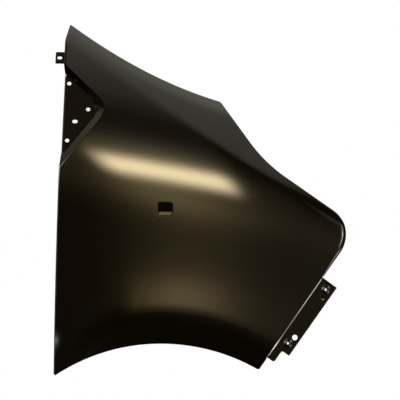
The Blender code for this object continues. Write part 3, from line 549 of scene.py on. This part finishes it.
# a bend carried along an edge: out by the sine and inboard by one less the cosine, times the radius
def bendRows(start, out, inboard, radius, turn=0.5 * math.pi):
    a = shares(sheet["bendSteps"])[:, None, None] * np.asarray(turn).reshape(1, -1, 1)
    radius = np.asarray(radius).reshape(1, -1, 1)
    return start + radius * (np.sin(a) * out + (1.0 - np.cos(a)) * inboard)


def straightRows(start, way, length, cells=3):  # start plus even shares of the length along the way
    t = shares(cells)[:, None, None]
    return start + t * np.asarray(length).reshape(1, -1, 1) * way


# the bumper flange: a slanted facet, the step down to a plane, and the plate in that plane with its
# notch, holes, seats and dimple
def addBumperFlange(start, square, out, inboard, away):
    b = bumperFlange
    middle = len(start) // 2
    plane = Plane(square[middle] + inboard[middle] * b["step"], square[-1] - square[0], -out[middle])
    plane.origin = plane.origin + plane.first * float(np.dot(square[0] - plane.origin, plane.first))
    level = float(plane.flat(plane.along(square, inboard))[0][1])
    knee = start + away * b["facet"]
    root = plane.along(knee, inboard)
    t = shares(3)[:, None, None]
    addGrid(start + t * (knee - start))
    addGrid(knee + t * (root - knee))
    flat = plane.flat(root)
    far = float(flat[-1][0])
    corners = [(far, level - b["width"]), (b["footLength"], level - b["width"]),
               (b["footLength"], level - b["footWidth"]), (0.0, level - b["footWidth"])]
    ring = [tuple(flat[-1])] + corners + [tuple(flat[0])]
    radii = (b["corner"], b["corner"], b["notchRadius"], b["footCorner"])
    outer = np.vstack([fillet(*ring[k:k + 3], radii[k], 8) for k in range(4)])
    plate = {"loops": [np.vstack((root, plane.at(outer)))], "flats": [np.vstack((flat, outer))], "holes": []}
    for spot in b["nutPlaces"]:
        addSeat(plane, flangePlace(spot, level))
        cutRound(plane, plate, flangePlace(spot, level), b["seatFoot"] + b["seatMargin"])
    addDimple(plane, flangePlace(b["dimplePlace"], level))
    cutRound(plane, plate, flangePlace(b["dimplePlace"], level), b["dimpleRadius"])
    cutRound(plane, plate, flangePlace(b["holePlace"], level), 0.5 * b["hole"])
    addPlate(**plate)
    return plane, level


def flangePlace(spot, level):  # a place on the flange from its run along the edge and its way down from it
    return np.array((spot[0], level - spot[1]))


# a raised seat: rings whose height falls evenly from the top radius to the foot
def addSeat(plane, place):
    b = bumperFlange
    slant = np.linspace(b["seatFoot"] + b["seatMargin"], b["seatTop"], b["seatSteps"] + 1)
    radius = np.append(slant, 0.5 * b["nutHole"])
    way = np.clip((radius - b["seatTop"]) / (b["seatFoot"] - b["seatTop"]), 0.0, 1.0)
    addRings(plane, place, radius, b["seatRise"] * (1.0 - way))


# a shallow round dimple: its depth follows one plus the cosine of the radius's share
def addDimple(plane, place):
    b = bumperFlange
    radius = np.linspace(b["dimpleRadius"], 0.05, b["dimpleSteps"] + 1)
    height = -0.5 * b["dimpleDepth"] * (1.0 + np.cos(math.pi * radius / radius[0]))
    addRings(plane, place, radius, height)


def addRings(plane, place, radius, height):  # circles of the given radii, each at its own height
    ring = circle(1.0)
    ring = np.vstack((ring, ring[:1]))
    flat = place + radius[:, None, None] * ring[None]
    addGrid(plane.at(flat, height[:, None]))


# from nought to one between two places, straight with a rounded turn at both: one ramp less another
def rise(s, low, high):
    turn = trimSeat["bendRound"]
    run = ramp(s - low, turn) - ramp(s - high, turn)
    return (run - run[0]) / (run[-1] - run[0])


# walls: the skin's form carried on, plus the drop to the floor in even shares. Along the lower line the
# named drop is spent gently down to a knee, and the rest steeply; a smooth step mixes both at the tip.
def addTrimSeat(rimLine, rim, door):
    t = trimSeat
    stretches = seatFloorEdge(rim, door)
    low, high = rim[0][0], rim[-1][-1]
    dLow, dHigh = depth(*low), depth(*high)
    slope = (dHigh - dLow) / (high[1] - low[1])
    start = stretches[0][0]
    origin = np.array((start[0], dLow + slope * (start[1] - low[1]) + t["depth"], start[1]))
    plane = Plane(origin, (1.0, 0.0, 0.0), (0.0, slope, 1.0))
    foot = plane.under(seatPlaces(stretches))
    s = shares(t["wallSteps"])
    gentle = rise(s, t["rimBend"], t["knee"])[:, None]
    last = rise(s, t["knee"], 1.0)[:, None]
    gap = foot[:, 1] - depth(foot[:, 0], foot[:, 2])
    part = np.clip(t["kneeDrop"] / gap, 0.0, t["mostDrop"])
    lower = ease((t["gentleEnd"] - np.arange(len(foot))) / t["gentleFade"])
    down = s[:, None] + lower * (part * gentle + (1.0 - part) * last - s[:, None])
    walls = rimLine + (foot - rimLine) * s[:, None, None]
    walls[:, :, 1] = depth(walls[:, :, 0], walls[:, :, 2]) + gap * down
    walls[0] = rimLine
    addGrid(walls)
    a, b = stretches[0][0], stretches[-1][-1]
    edge = through((b, a), t["openEdgeSteps"])[1:-1]
    edge[:, 0] = np.interp(edge[:, 1], door[:, 1], door[:, 0]) + t["edgeInset"]
    openEdge = plane.under(edge)
    outline = np.vstack((foot, openEdge))
    plate = {"loops": [outline], "flats": [plane.flat(outline)], "holes": []}
    for place in t["clipHoles"]:
        cutRound(plane, plate, plane.flat(plane.under(place))[0], 0.5 * t["clipHole"])
    centre = plane.flat(plane.under(t["slotPlace"]))[0]
    half = 0.5 * np.array(t["slot"])
    cutOut(plane, plate, slotOutline(*t["slot"]) + centre, inBox(centre, *half))
    addPlate(**plate)
    return np.vstack((walls[1:, 0], openEdge[::-1], walls[1:, -1][::-1]))


# the side lamp recess: rings from the rim straight to a leaning floor. Only the lower wall bends: down to
# its knee by one less a power of the width left, and evenly from there.
def addSideLamp(flatSkin):
    s = sideLamp
    centre = np.asarray(s["centre"])
    half = np.array((0.5 * s["width"], 0.5 * s["height"]))
    inside = np.all(np.abs(flatSkin - centre) < half + s["margin"], axis=2)
    rows = np.nonzero(inside.any(axis=1))[0]
    columns = np.nonzero(inside.any(axis=0))[0]
    r0, r1, c0, c1 = rows[0] - 1, rows[-1] + 1, columns[0] - 1, columns[-1] + 1
    flats = [np.vstack((flatSkin[r0, c0:c1], flatSkin[r0:r1, c1], flatSkin[r1, c1:c0:-1],
                        flatSkin[r1:r0:-1, c0]))]
    for grow in s["collars"]:
        flats.append(roundedBox(half[0] + grow, -half[1] - grow, half[1] + grow, s["corner"] + grow) + centre)
    loops = [lift(f) for f in flats]
    loops[-1][:, 1] += s["rimSink"]
    addPlate(loops, flats, [inBox(centre, *(half + s["collars"][-1]))], True)
    level = float(depth(*centre)) + s["depth"]
    rim = loops[-1]
    draft = s["sideDraft"]
    floor = roundedBox(half[0] - draft, -half[1] + s["footDraft"], half[1] - draft, s["corner"])
    above = floor[:, 1] - floor[:, 1].min()
    floor = np.column_stack((floor[:, 0] + centre[0], level - s["lean"] * above, floor[:, 1] + centre[1]))
    t = shares(s["wallSteps"])[:, None]
    kneeAt, kneeDown = s["footKnee"]
    toKnee = 1.0 - np.clip(1.0 - t / kneeAt, 0.0, 1.0) ** s["footRound"]
    pastKnee = np.clip((t - kneeAt) / (1.0 - kneeAt), 0.0, 1.0)
    down = np.where(above < 0.01 * s["footDraft"], kneeDown * toKnee + (1.0 - kneeDown) * pastKnee, t)
    share = np.stack(np.broadcast_arrays(t, down, t), axis=-1)
    rings = rim + (floor - rim) * share
    addGrid(np.concatenate((rings, rings[:, :1]), axis=1))
    addPlate([floor], [floor[:, (0, 2)]], [])
    keep = np.ones((flatSkin.shape[0] - 1, flatSkin.shape[1] - 1), bool)
    keep[r0:r1, c0:c1] = False
    return keep


def tabOutline(low, high):  # the tab's plane, its root's length, and its outline with two rounded corners
    t = rearTab
    plane = Plane(low, high - low, (-1.0, 0.0, 0.0))
    height = float(np.linalg.norm(high - low))
    outer = np.vstack((fillet((height, 0.0), (height, t["length"]), (0.0, t["length"]), t["corner"], 8),
                       fillet((height, t["length"]), (0.0, t["length"]), (0.0, 0.0), t["corner"], 8)))
    return plane, height, outer


def buildPanel():
    g = grid
    flatSkin, rim, door = skinGrid()
    skin = lift(flatSkin)
    addGrid(skin, addSideLamp(flatSkin))
    topRow = g["lipRows"] + g["midRows"] + g["shoulderRows"]

    out, inboard = outAndIn(flatSkin[0])  # arch, from the door forward, so that the wheel is on its right
    rows = bendRows(skin[0], out, inboard, sheet["edgeBend"])
    addGrid(rows)
    addGrid(straightRows(rows[-1], inboard, flanges["arch"]))

    edge = joined([flatSkin[:, -1], flatSkin[-1, ::-1]])  # bumper edge, nose, headlamp edge, bonnet edge
    out, inboard = outAndIn(edge)
    places = np.arange(len(edge))
    strip = (places >= g["stripFootRow"]) & (places <= g["stripEnd"])
    facetTurn = math.radians(bumperFlange["facetTurn"]) - np.arcsin(out[:, 1])
    turn = np.where(strip, facetTurn, 0.5 * math.pi)
    radius = np.where(strip, bumperFlange["facetBend"], edgeBend(edge))
    rows = bendRows(lift(edge), out, inboard, radius, turn)
    addGrid(rows)
    last = rows[-1]
    away = out * np.cos(turn)[:, None] + inboard * np.sin(turn)[:, None]
    corner = topRow + g["columns"] - g["cornerColumn"]
    foot = slice(0, g["stripFootRow"] + 1)
    strip = slice(g["stripFootRow"], g["stripEnd"] + 1)
    front = slice(g["stripEnd"], corner + 1)
    bonnet = slice(corner + g["bonnetEnds"][0], len(edge) - g["bonnetEnds"][1])
    addGrid(straightRows(last[foot], inboard[foot], bumperFlange["step"], 1))
    reach = flanges["front"] + sheet["edgeBend"] - edgeBend(edge)
    addGrid(straightRows(last[front], inboard[front], reach[front]))
    square = lift(edge) + edgeBend(edge)[:, None] * (out + inboard)  # where a full quarter bend would end
    plane, level = addBumperFlange(last[strip], square[strip], out[strip], inboard[strip], away[strip])
    addGrid(straightRows(last[bonnet], inboard[bonnet], flanges["bonnetDrop"]))
    drop = last[bonnet] + flanges["bonnetDrop"] * inboard[bonnet]
    addGrid(straightRows(drop, np.array((0.0, 1.0, 0.0)), flanges["bonnetLedge"]))

    openEnd = addTrimSeat(skin[g["pocketStart"]:g["pocketEnd"] + 1, 0], rim, door)
    path = np.vstack((skin[:g["pocketStart"] + 1, 0], openEnd[:-1], skin[g["pocketEnd"]:, 0]))  # door edge
    slope = math.atan(-2.0 * form["bowDepth"] * sideView["doorFootX"] / form["bowHalfLength"] ** 2)
    out = np.tile((-math.cos(slope), math.sin(slope), 0.0), (len(path), 1))
    inboard = np.tile((math.sin(slope), math.cos(slope), 0.0), (len(path), 1))
    rows = bendRows(path, out, inboard, sheet["edgeBend"])
    addGrid(rows)
    flange = straightRows(rows[-1], inboard, flanges["door"])
    addGrid(flange)
    k = len(path) - (topRow - g["pocketEnd"] + 1)
    root = flange[-1][k:k + g["tabCells"] + 1]
    tabPlane, height, outer = tabOutline(root[0], root[-1])
    middle = np.array((0.5 * height, rearTab["slotReach"]))
    plate = {"loops": [np.vstack((root, tabPlane.at(outer)))],
             "flats": [np.vstack((tabPlane.flat(root), outer))], "holes": []}
    half = 0.5 * np.array(rearTab["slot"][::-1])
    cutOut(tabPlane, plate, slotOutline(*rearTab["slot"])[:, ::-1] + middle, inBox(middle, *half))
    addPlate(**plate)
    return plane, level


def flangeOrigin(plane, level):  # midway from the hole to the upper nut, and midway across the flange
    b = bumperFlange
    along = 0.5 * (b["holePlace"][0] + b["nutPlaces"][1][0])
    return plane.at(np.array((along, level - 0.5 * b["width"])))[0]


def meshOf(name, points, faces):
    data = bpy.data.meshes.new(name)
    data.from_pydata(points.tolist(), [], faces)
    return data


def placed(name, data):
    item = bpy.data.objects.new(name, data)
    bpy.context.scene.collection.objects.link(item)
    return item


# joins close points and turns all faces one way; an open sheet also loses its slivers and looks outboard
def weld(data, gap, isSheet):
    work = bmesh.new()
    work.from_mesh(data)
    bmesh.ops.remove_doubles(work, verts=work.verts, dist=gap)
    if isSheet:
        bmesh.ops.dissolve_degenerate(work, edges=work.edges, dist=0.5 * gap)
    bmesh.ops.recalc_face_normals(work, faces=work.faces)
    if isSheet and sum(f.normal.y * f.calc_area() for f in work.faces) > 0.0:
        bmesh.ops.reverse_faces(work, faces=work.faces)
    work.to_mesh(data)
    work.free()


def makePanel():
    plane, level = buildPanel()
    origin = flangeOrigin(plane, level)
    points = (np.vstack(panel["points"]) - origin) * mm
    data = meshOf("fenderSheet", points, panel["faces"])
    data.polygons.foreach_set("use_smooth", panel["smooth"])
    weld(data, sheet["weldGap"] * mm, True)
    item = placed("fenderSheet", data)
    wall = item.modifiers.new("sheetThickness", "SOLIDIFY")
    wall.thickness = sheet["thickness"] * mm
    wall.offset = -1.0
    wall.use_even_offset = True
    smooth = np.zeros(len(data.polygons), bool)
    data.polygons.foreach_get("use_smooth", smooth)
    data.set_sharp_from_angle(angle=math.radians(sheet["smoothAngle"]))
    data.polygons.foreach_set("use_smooth", smooth)
    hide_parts("fender_panel")
    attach(item, "root")
    print("panel:", len(data.vertices), "points,", len(data.polygons), "faces")
    return item, plane, level, origin


# Weld nuts

weldNut = {
    "pilotRadius": 4.6, "pilotStep": 0.2, "threadMinor": 2.55, "threadMajor": 3.0, "pitch": 1.0,
    "acrossFlats": 11.0, "height": 5.5, "gap": 0.3, "chamfer": 0.55, "sides": 72, "threadRows": 60,
    "threadLead": 0.35, "pilotChamfer": 0.3, "weldGap": 0.002, "smoothAngle": 30.0,
}


# a closed profile carried round the bore: radius and height for each row; the hexagon's reach is its
# across-flats half over the cosine of the angle from the nearest flat; the thread's radius is a
# triangle wave of height over pitch less the turn
def makeNut(name, plane, place, origin):
    n = weldNut
    turn = np.linspace(0.0, 2.0 * math.pi, n["sides"] + 1)
    hexagon = 0.5 * n["acrossFlats"] / np.cos(np.mod(turn, math.pi / 3.0) - math.pi / 6.0)
    top = bumperFlange["seatRise"] - n["pilotStep"]
    back = bumperFlange["seatRise"] - sheet["thickness"] - n["gap"]
    end = back - n["height"]
    cone = 0.5 * n["acrossFlats"] + 0.2
    pilot, mouth = n["pilotRadius"], n["threadMajor"] + n["threadLead"]
    z = np.linspace(top - n["threadLead"], end + n["threadLead"], n["threadRows"])[:, None]
    wave = np.abs(2.0 * np.mod(z / n["pitch"] - turn[None] / (2.0 * math.pi), 1.0) - 1.0)
    thread = n["threadMinor"] + (n["threadMajor"] - n["threadMinor"]) * wave
    rows = [(pilot, back), (pilot, top - n["pilotChamfer"]), (pilot - n["pilotChamfer"], top), (mouth, top)]
    rows += zip(thread, z[:, 0])
    rows += [(mouth, end), (np.minimum(hexagon, cone), end),
             (np.minimum(hexagon, cone + 0.6 * n["chamfer"]), end + 0.15), (hexagon, end + n["chamfer"]),
             (hexagon, back - 0.2), (hexagon - 0.15, back), (pilot, back)]
    radii = np.stack([np.broadcast_to(radius, turn.shape) for radius, _ in rows])
    heights = np.array([height for _, height in rows])
    points = (plane.at(radii[..., None] * spokes(turn) + place, heights[:, None]) - origin) * mm
    faces = gridFaces(*points.shape[:2]).reshape(-1, 4)
    data = meshOf(name, points.reshape(-1, 3), faces.tolist())
    data.polygons.foreach_set("use_smooth", [True] * len(faces))
    weld(data, n["weldGap"] * mm, False)
    data.set_sharp_from_angle(angle=math.radians(n["smoothAngle"]))
    return placed(name, data)


# Finishes

# sets a node's inputs: numbers and colours directly, another node's output by a link
def feed(tree, node, inputs):
    for name, value in inputs.items():
        if isinstance(value, bpy.types.NodeSocket):
            tree.links.new(value, node.inputs[name])
        else:
            node.inputs[name].default_value = value


def addNode(tree, kind, inputs=None, **settings):
    node = tree.nodes.new("ShaderNode" + kind)
    for name, value in settings.items():
        setattr(node, name, value)
    feed(tree, node, inputs or {})
    return node


def maths(tree, kind, *values):
    return addNode(tree, "Math", dict(enumerate(values)), operation=kind).outputs[0]


# a baked-on primer film: slight mottle of the colour, cloudy roughness, and the film's fine peel as height
def primerFilmGroup():
    group = bpy.data.node_groups.new("primerFilm", "ShaderNodeTree")
    for side, names in (("INPUT", ("Tint", "Mottle", "Roughness", "Cloud", "Peel Scale")),
                        ("OUTPUT", ("Colour", "Roughness", "Height"))):
        for name in names:
            kind = "NodeSocketColor" if name in ("Tint", "Colour") else "NodeSocketFloat"
            group.interface.new_socket(name, in_out=side, socket_type=kind)
    given = group.nodes.new("NodeGroupInput").outputs
    made = group.nodes.new("NodeGroupOutput")
    where = addNode(group, "TexCoord").outputs["Object"]
    calc = partial(maths, group)

    def noise(scale, detail, rough):
        return addNode(group, "TexNoise", {
            "Vector": where, "Scale": scale, "Detail": detail, "Roughness": rough}).outputs["Fac"]

    broad = calc("SUBTRACT", noise(5.0, 3.0, 0.5), 0.5)
    speck = calc("SUBTRACT", noise(42.0, 4.0, 0.6), 0.5)
    both = calc("ADD", broad, calc("MULTIPLY", speck, 0.6))
    scale = calc("ADD", calc("MULTIPLY", both, given["Mottle"]), 1.0)
    tinted = addNode(group, "VectorMath", {0: given["Tint"], "Scale": scale}, operation="SCALE")
    feed(group, made, {"Colour": tinted.outputs["Vector"],
                       "Roughness": calc("ADD", given["Roughness"], calc("MULTIPLY", both, given["Cloud"])),
                       "Height": noise(given["Peel Scale"], 2.0, 0.4)})
    return group


primerFinish = {"film": {"Tint": (0.0085, 0.0072, 0.0045, 1.0), "Mottle": 0.35, "Roughness": 0.08,
                         "Cloud": 0.03, "Peel Scale": 420.0}, "peelHeight": 0.000012, "specular": 0.56}
nutFinish = {"film": {"Tint": (0.011, 0.0095, 0.007, 1.0), "Mottle": 0.6, "Roughness": 0.38,
                      "Cloud": 0.16, "Peel Scale": 900.0}, "peelHeight": 0.00002, "specular": 0.5}


def primerMaterial(name, finish, group):
    material = bpy.data.materials.new(name)
    material.use_nodes = True
    tree = material.node_tree
    made = addNode(tree, "Group", finish["film"], node_tree=group).outputs
    bump = addNode(tree, "Bump", {
        "Strength": 1.0, "Distance": finish["peelHeight"], "Height": made["Height"]})
    feed(tree, tree.nodes["Principled BSDF"], {
        "Base Color": made["Colour"], "Roughness": made["Roughness"], "Normal": bump.outputs["Normal"],
        "Specular IOR Level": finish["specular"]})
    return material


# Studio: a pale floor, a sky of light that only the part sees, and a weak lamp overhead

studio = {
    "floorDrop": 0.125, "floorRadius": 1.7, "floorRings": (0.0001, 0.4, 0.8, 1.0),
    "floorColour": (0.86, 0.86, 0.85), "floorGlow": (0.84, 0.9, 1.0), "floorGlowLight": 0.42,
    "fillHeight": 5.0, "fillSize": 3.0, "fillPower": 20.0, "fillColour": (1.0, 0.95, 0.85),
    "fillOver": (161.0, 172.0), "skyStrength": 3.0, "cameraDistance": 30.0, "sensor": 36.0,
    "pictureSize": 400.0, "millimetresPerPixel": 2.15, "origin": (309.26, 312.79),
}

# The sky's light by its angle over the front horizon, up and over to the back: degrees and radiance.
# Each band also has its own reach to the sides, in the way's x part: a bell's middle and spread, what
# is left beyond it, and where the left side opens and the right side is cut off. The last band lights
# the back softly.
skyBands = (
    {"colour": (1.33, 1.0, 0.48), "middle": 0.095, "spread": 0.108, "rest": 0.07, "stops": (
        (-180, 0), (-30, 0.01), (-8, 0.04), (-2, 0.12), (2, 0.33), (6, 0.32), (10, 0.54), (14, 0.98),
        (18, 1.42), (23, 1.42), (28, 1.2), (36, 0.7), (44, 0.15), (50, 0), (180, 0))},
    {"colour": (1.2, 1.0, 0.62), "middle": 0.19, "spread": 0.16, "rest": 0.0, "cut": (0.25, 0.33), "stops": (
        (-180, 0), (30, 0), (36, 0.75), (40, 1.4), (43, 1.2), (46, 0.7), (50, 0.32), (54, 0.12), (58, 0.03),
        (62, 0), (180, 0))},
    {"colour": (1.04, 1.0, 0.86), "middle": 0.1, "spread": 0.25, "rest": 0.12,
     "open": (-0.03, 0.06), "cut": (0.46, 0.62), "stops": (
        (-180, 0.6), (-155, 0.15), (-135, 0.03), (-40, 0.01), (40, 0.02), (54, 0.03), (62, 0.065),
        (66, 0.155), (74, 0.35), (82, 0.49), (95, 0.57), (105, 0.59), (114, 0.76), (124, 0.74), (134, 0.72),
        (150, 0.65), (180, 0.6))},
    {"colour": (1.0, 1.0, 0.96), "middle": 0.0, "spread": 0.5, "rest": 0.0, "stops": (
        (-180, 0.34), (-165, 0.22), (-145, 0.06), (-125, 0), (125, 0), (145, 0.06), (165, 0.22),
        (180, 0.34))},
)
# The softbox over the front: a flat-topped bell in height, and a soft-edged stretch from side to side.
softbox = {"colour": (1.235, 1.0, 0.588), "light": 14.5, "angle": 31.6, "turn": 10.5, "spread": 5.25,
           "power": 2.3, "left": (-0.08, 0.01), "right": (0.256, 0.304)}
# Small lamps: way, sharpness, colour and light. In order: three on the nose, the bumper facet, two on
# the lower rear edge, the nut seats, the trim seat's lower wall and the bumper flange.
lamps = (((0.77, -0.34, 0.54), 150.0, (1.0, 0.93, 0.72), 5.0),
         ((0.78, -0.5, 0.37), 150.0, (1.0, 0.93, 0.72), 14.0),
         ((0.75, -0.62, 0.2), 150.0, (1.0, 0.93, 0.72), 8.0),
         ((0.8, -0.17, -0.57), 40.0, (1.04, 0.98, 0.88), 21.0),
         ((-0.62, -0.78, 0.05), 100.0, (0.97, 1.0, 1.02), 1.3),
         ((-0.57, -0.82, 0.05), 400.0, (0.97, 1.0, 1.02), 3.4),
         ((-0.62, -0.62, 0.48), 60.0, (1.0, 1.0, 0.97), 50.0),
         ((-0.5, 0.05, 0.86), 12.0, (1.08, 1.0, 0.74), 0.52),
         ((0.5, -0.85, 0.15), 25.0, (1.12, 1.0, 0.7), 0.13))


def makeFloor():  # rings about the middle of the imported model's box, seen but never reflected
    s = studio
    low, high = cadBox
    ring = circle(s["floorRadius"], 96)
    ring = np.vstack((ring, ring[:1]))
    middle = np.array((0.5 * (low[0] + high[0]), 0.5 * (low[1] + high[1])))
    flat = np.array(s["floorRings"])[:, None, None] * ring + middle
    z = np.full(flat.shape[:2] + (1,), low[2] - s["floorDrop"])
    points = np.concatenate((flat, z), axis=2)
    faces = gridFaces(*flat.shape[:2])[..., ::-1].reshape(-1, 4)
    data = meshOf("studioFloor", points.reshape(-1, 3), faces.tolist())
    item = placed("studioFloor", data)
    material = bpy.data.materials.new("paleFloor")
    material.use_nodes = True
    feed(material.node_tree, material.node_tree.nodes["Principled BSDF"], {
        "Base Color": (*s["floorColour"], 1.0), "Roughness": 0.9, "Specular IOR Level": 0.0,
        "Emission Color": (*s["floorGlow"], 1.0), "Emission Strength": s["floorGlowLight"]})
    data.materials.append(material)
    item.visible_glossy = False
    item.visible_diffuse = False


# world light as a function of its way: bands times bells, the softbox, and lamps as e to the power of
# sharpness times the cosine less one
def makeSky():
    world = bpy.data.worlds.new("studioSky")
    bpy.context.scene.world = world
    world.use_nodes = True
    tree = world.node_tree
    tree.nodes.clear()
    where = addNode(tree, "TexCoord").outputs["Generated"]
    split = addNode(tree, "SeparateXYZ", {0: where}).outputs
    sideways = split["X"]
    strength = studio["skyStrength"]
    calc = partial(maths, tree)
    lights = []

    def add(light, colour):
        lights.append(addNode(tree, "VectorMath", {0: colour, "Scale": light}, operation="SCALE").outputs[0])

    def bell(off, spread, power=2.0, fall=0.5):  # e to the power of less fall times the share's own power
        share = calc("POWER", calc("ABSOLUTE", calc("DIVIDE", off, spread)), power)
        return calc("EXPONENT", calc("MULTIPLY", share, -fall))

    def opened(low, high):  # a smooth step from side to side
        return addNode(tree, "MapRange", {"Value": sideways, "From Min": low, "From Max": high},
                       interpolation_type="SMOOTHSTEP").outputs["Result"]

    def closed(low, high):
        return calc("SUBTRACT", 1.0, opened(low, high))

    angle = calc("ARCTAN2", split["Z"], calc("MULTIPLY", split["Y"], -1.0))
    degrees = calc("MULTIPLY", angle, 180.0 / math.pi)
    turned = calc("ADD", calc("DIVIDE", degrees, 360.0), 0.5)
    for band in skyBands:
        shade = addNode(tree, "ValToRGB", {"Fac": turned})
        shade.color_ramp.interpolation = "EASE"
        stops = shade.color_ramp.elements
        stops.remove(stops[-1])
        for k, (height, light) in enumerate(band["stops"]):
            place = (height + 180.0) / 360.0
            stop = stops[0] if k == 0 else stops.new(place)
            stop.position = place
            stop.color = [light / strength] * 3 + [1.0]
        across = bell(calc("SUBTRACT", sideways, band["middle"]), band["spread"])
        across = calc("MULTIPLY_ADD", across, 1.0 - band["rest"], band["rest"])
        if "open" in band:
            across = calc("MULTIPLY", across, opened(*band["open"]))
        if "cut" in band:
            across = calc("MULTIPLY", across, closed(*band["cut"]))
        add(calc("MULTIPLY", shade.outputs["Color"], across), band["colour"])
    tilt = calc("MULTIPLY_ADD", sideways, softbox["turn"], softbox["angle"])
    up = bell(calc("SUBTRACT", degrees, tilt), softbox["spread"], softbox["power"], 1.0)
    across = calc("MULTIPLY", opened(*softbox["left"]), closed(*softbox["right"]))
    add(calc("MULTIPLY", calc("MULTIPLY", up, across), softbox["light"] / strength), softbox["colour"])
    path = addNode(tree, "LightPath").outputs  # the lamps make reflections only
    for way, sharpness, colour, light in lamps:
        toward = addNode(tree, "VectorMath", {0: where, 1: Vector(way).normalized()}, operation="DOT_PRODUCT")
        near = calc("MULTIPLY", calc("SUBTRACT", toward.outputs["Value"], 1.0), sharpness)
        near = calc("MULTIPLY", calc("EXPONENT", near), path["Is Glossy Ray"])
        add(calc("MULTIPLY", near, light / strength), colour)

    total = lights[0]
    for light in lights[1:]:
        total = addNode(tree, "VectorMath", {0: total, 1: light}, operation="ADD").outputs[0]
    sky = addNode(tree, "Background", {"Strength": strength, "Color": total})
    white = addNode(tree, "Background", {"Color": (1.0, 1.0, 1.0, 1.0)})
    mix = addNode(tree, "MixShader", {"Fac": path["Is Camera Ray"], 1: sky.outputs[0], 2: white.outputs[0]})
    addNode(tree, "OutputWorld", {"Surface": mix.outputs[0]})


def rowPlace(px, py):  # a place in the photograph's frame, on the plane through the panel's origin
    k = studio["millimetresPerPixel"] * mm
    return (px - studio["origin"][0]) * k, (studio["origin"][1] - py) * k


def makeFill():  # a weak wide lamp overhead, which lifts only what the sky leaves black
    s = studio
    data = bpy.data.lights.new("fill", "AREA")
    data.shape = "DISK"
    data.size = s["fillSize"]
    data.energy = s["fillPower"]
    data.color = s["fillColour"]
    item = placed("fill", data)
    x, z = rowPlace(*s["fillOver"])
    item.location = (x, 0.0, z + s["fillHeight"])
    item.visible_glossy = False


def makeCamera():  # far off and square on: the lens is the sensor times the distance over the width seen
    s = studio
    data = bpy.data.cameras.new("camera")
    data.sensor_width = s["sensor"]
    data.lens = s["sensor"] * s["cameraDistance"] / (s["pictureSize"] * s["millimetresPerPixel"] * mm)
    data.clip_start, data.clip_end = 0.1, 200.0
    item = placed("camera", data)
    x, z = rowPlace(0.5 * s["pictureSize"], 0.5 * s["pictureSize"])
    item.location = (x, -s["cameraDistance"], z)
    item.rotation_euler = (math.radians(90.0), 0.0, 0.0)
    bpy.context.scene.camera = item


film = primerFilmGroup()
panelPrimer = primerMaterial("panelPrimer", primerFinish, film)
nutPrimer = primerMaterial("nutPrimer", nutFinish, film)
print("finishes made")

fender, flangePlane, flangeLevel, rowOrigin = makePanel()
fender.data.materials.append(panelPrimer)
for node, spot in zip(("lower_weld_nut", "upper_weld_nut"), bumperFlange["nutPlaces"]):
    nut = makeNut(node.split("_")[0] + "WeldNut", flangePlane, flangePlace(spot, flangeLevel), rowOrigin)
    nut.data.materials.append(nutPrimer)
    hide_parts(node)
    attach(nut, "root")
print("weld nuts made")

makeFloor()
makeSky()
makeFill()
makeCamera()
bpy.context.scene.view_settings.view_transform = "Standard"
print("studio made")
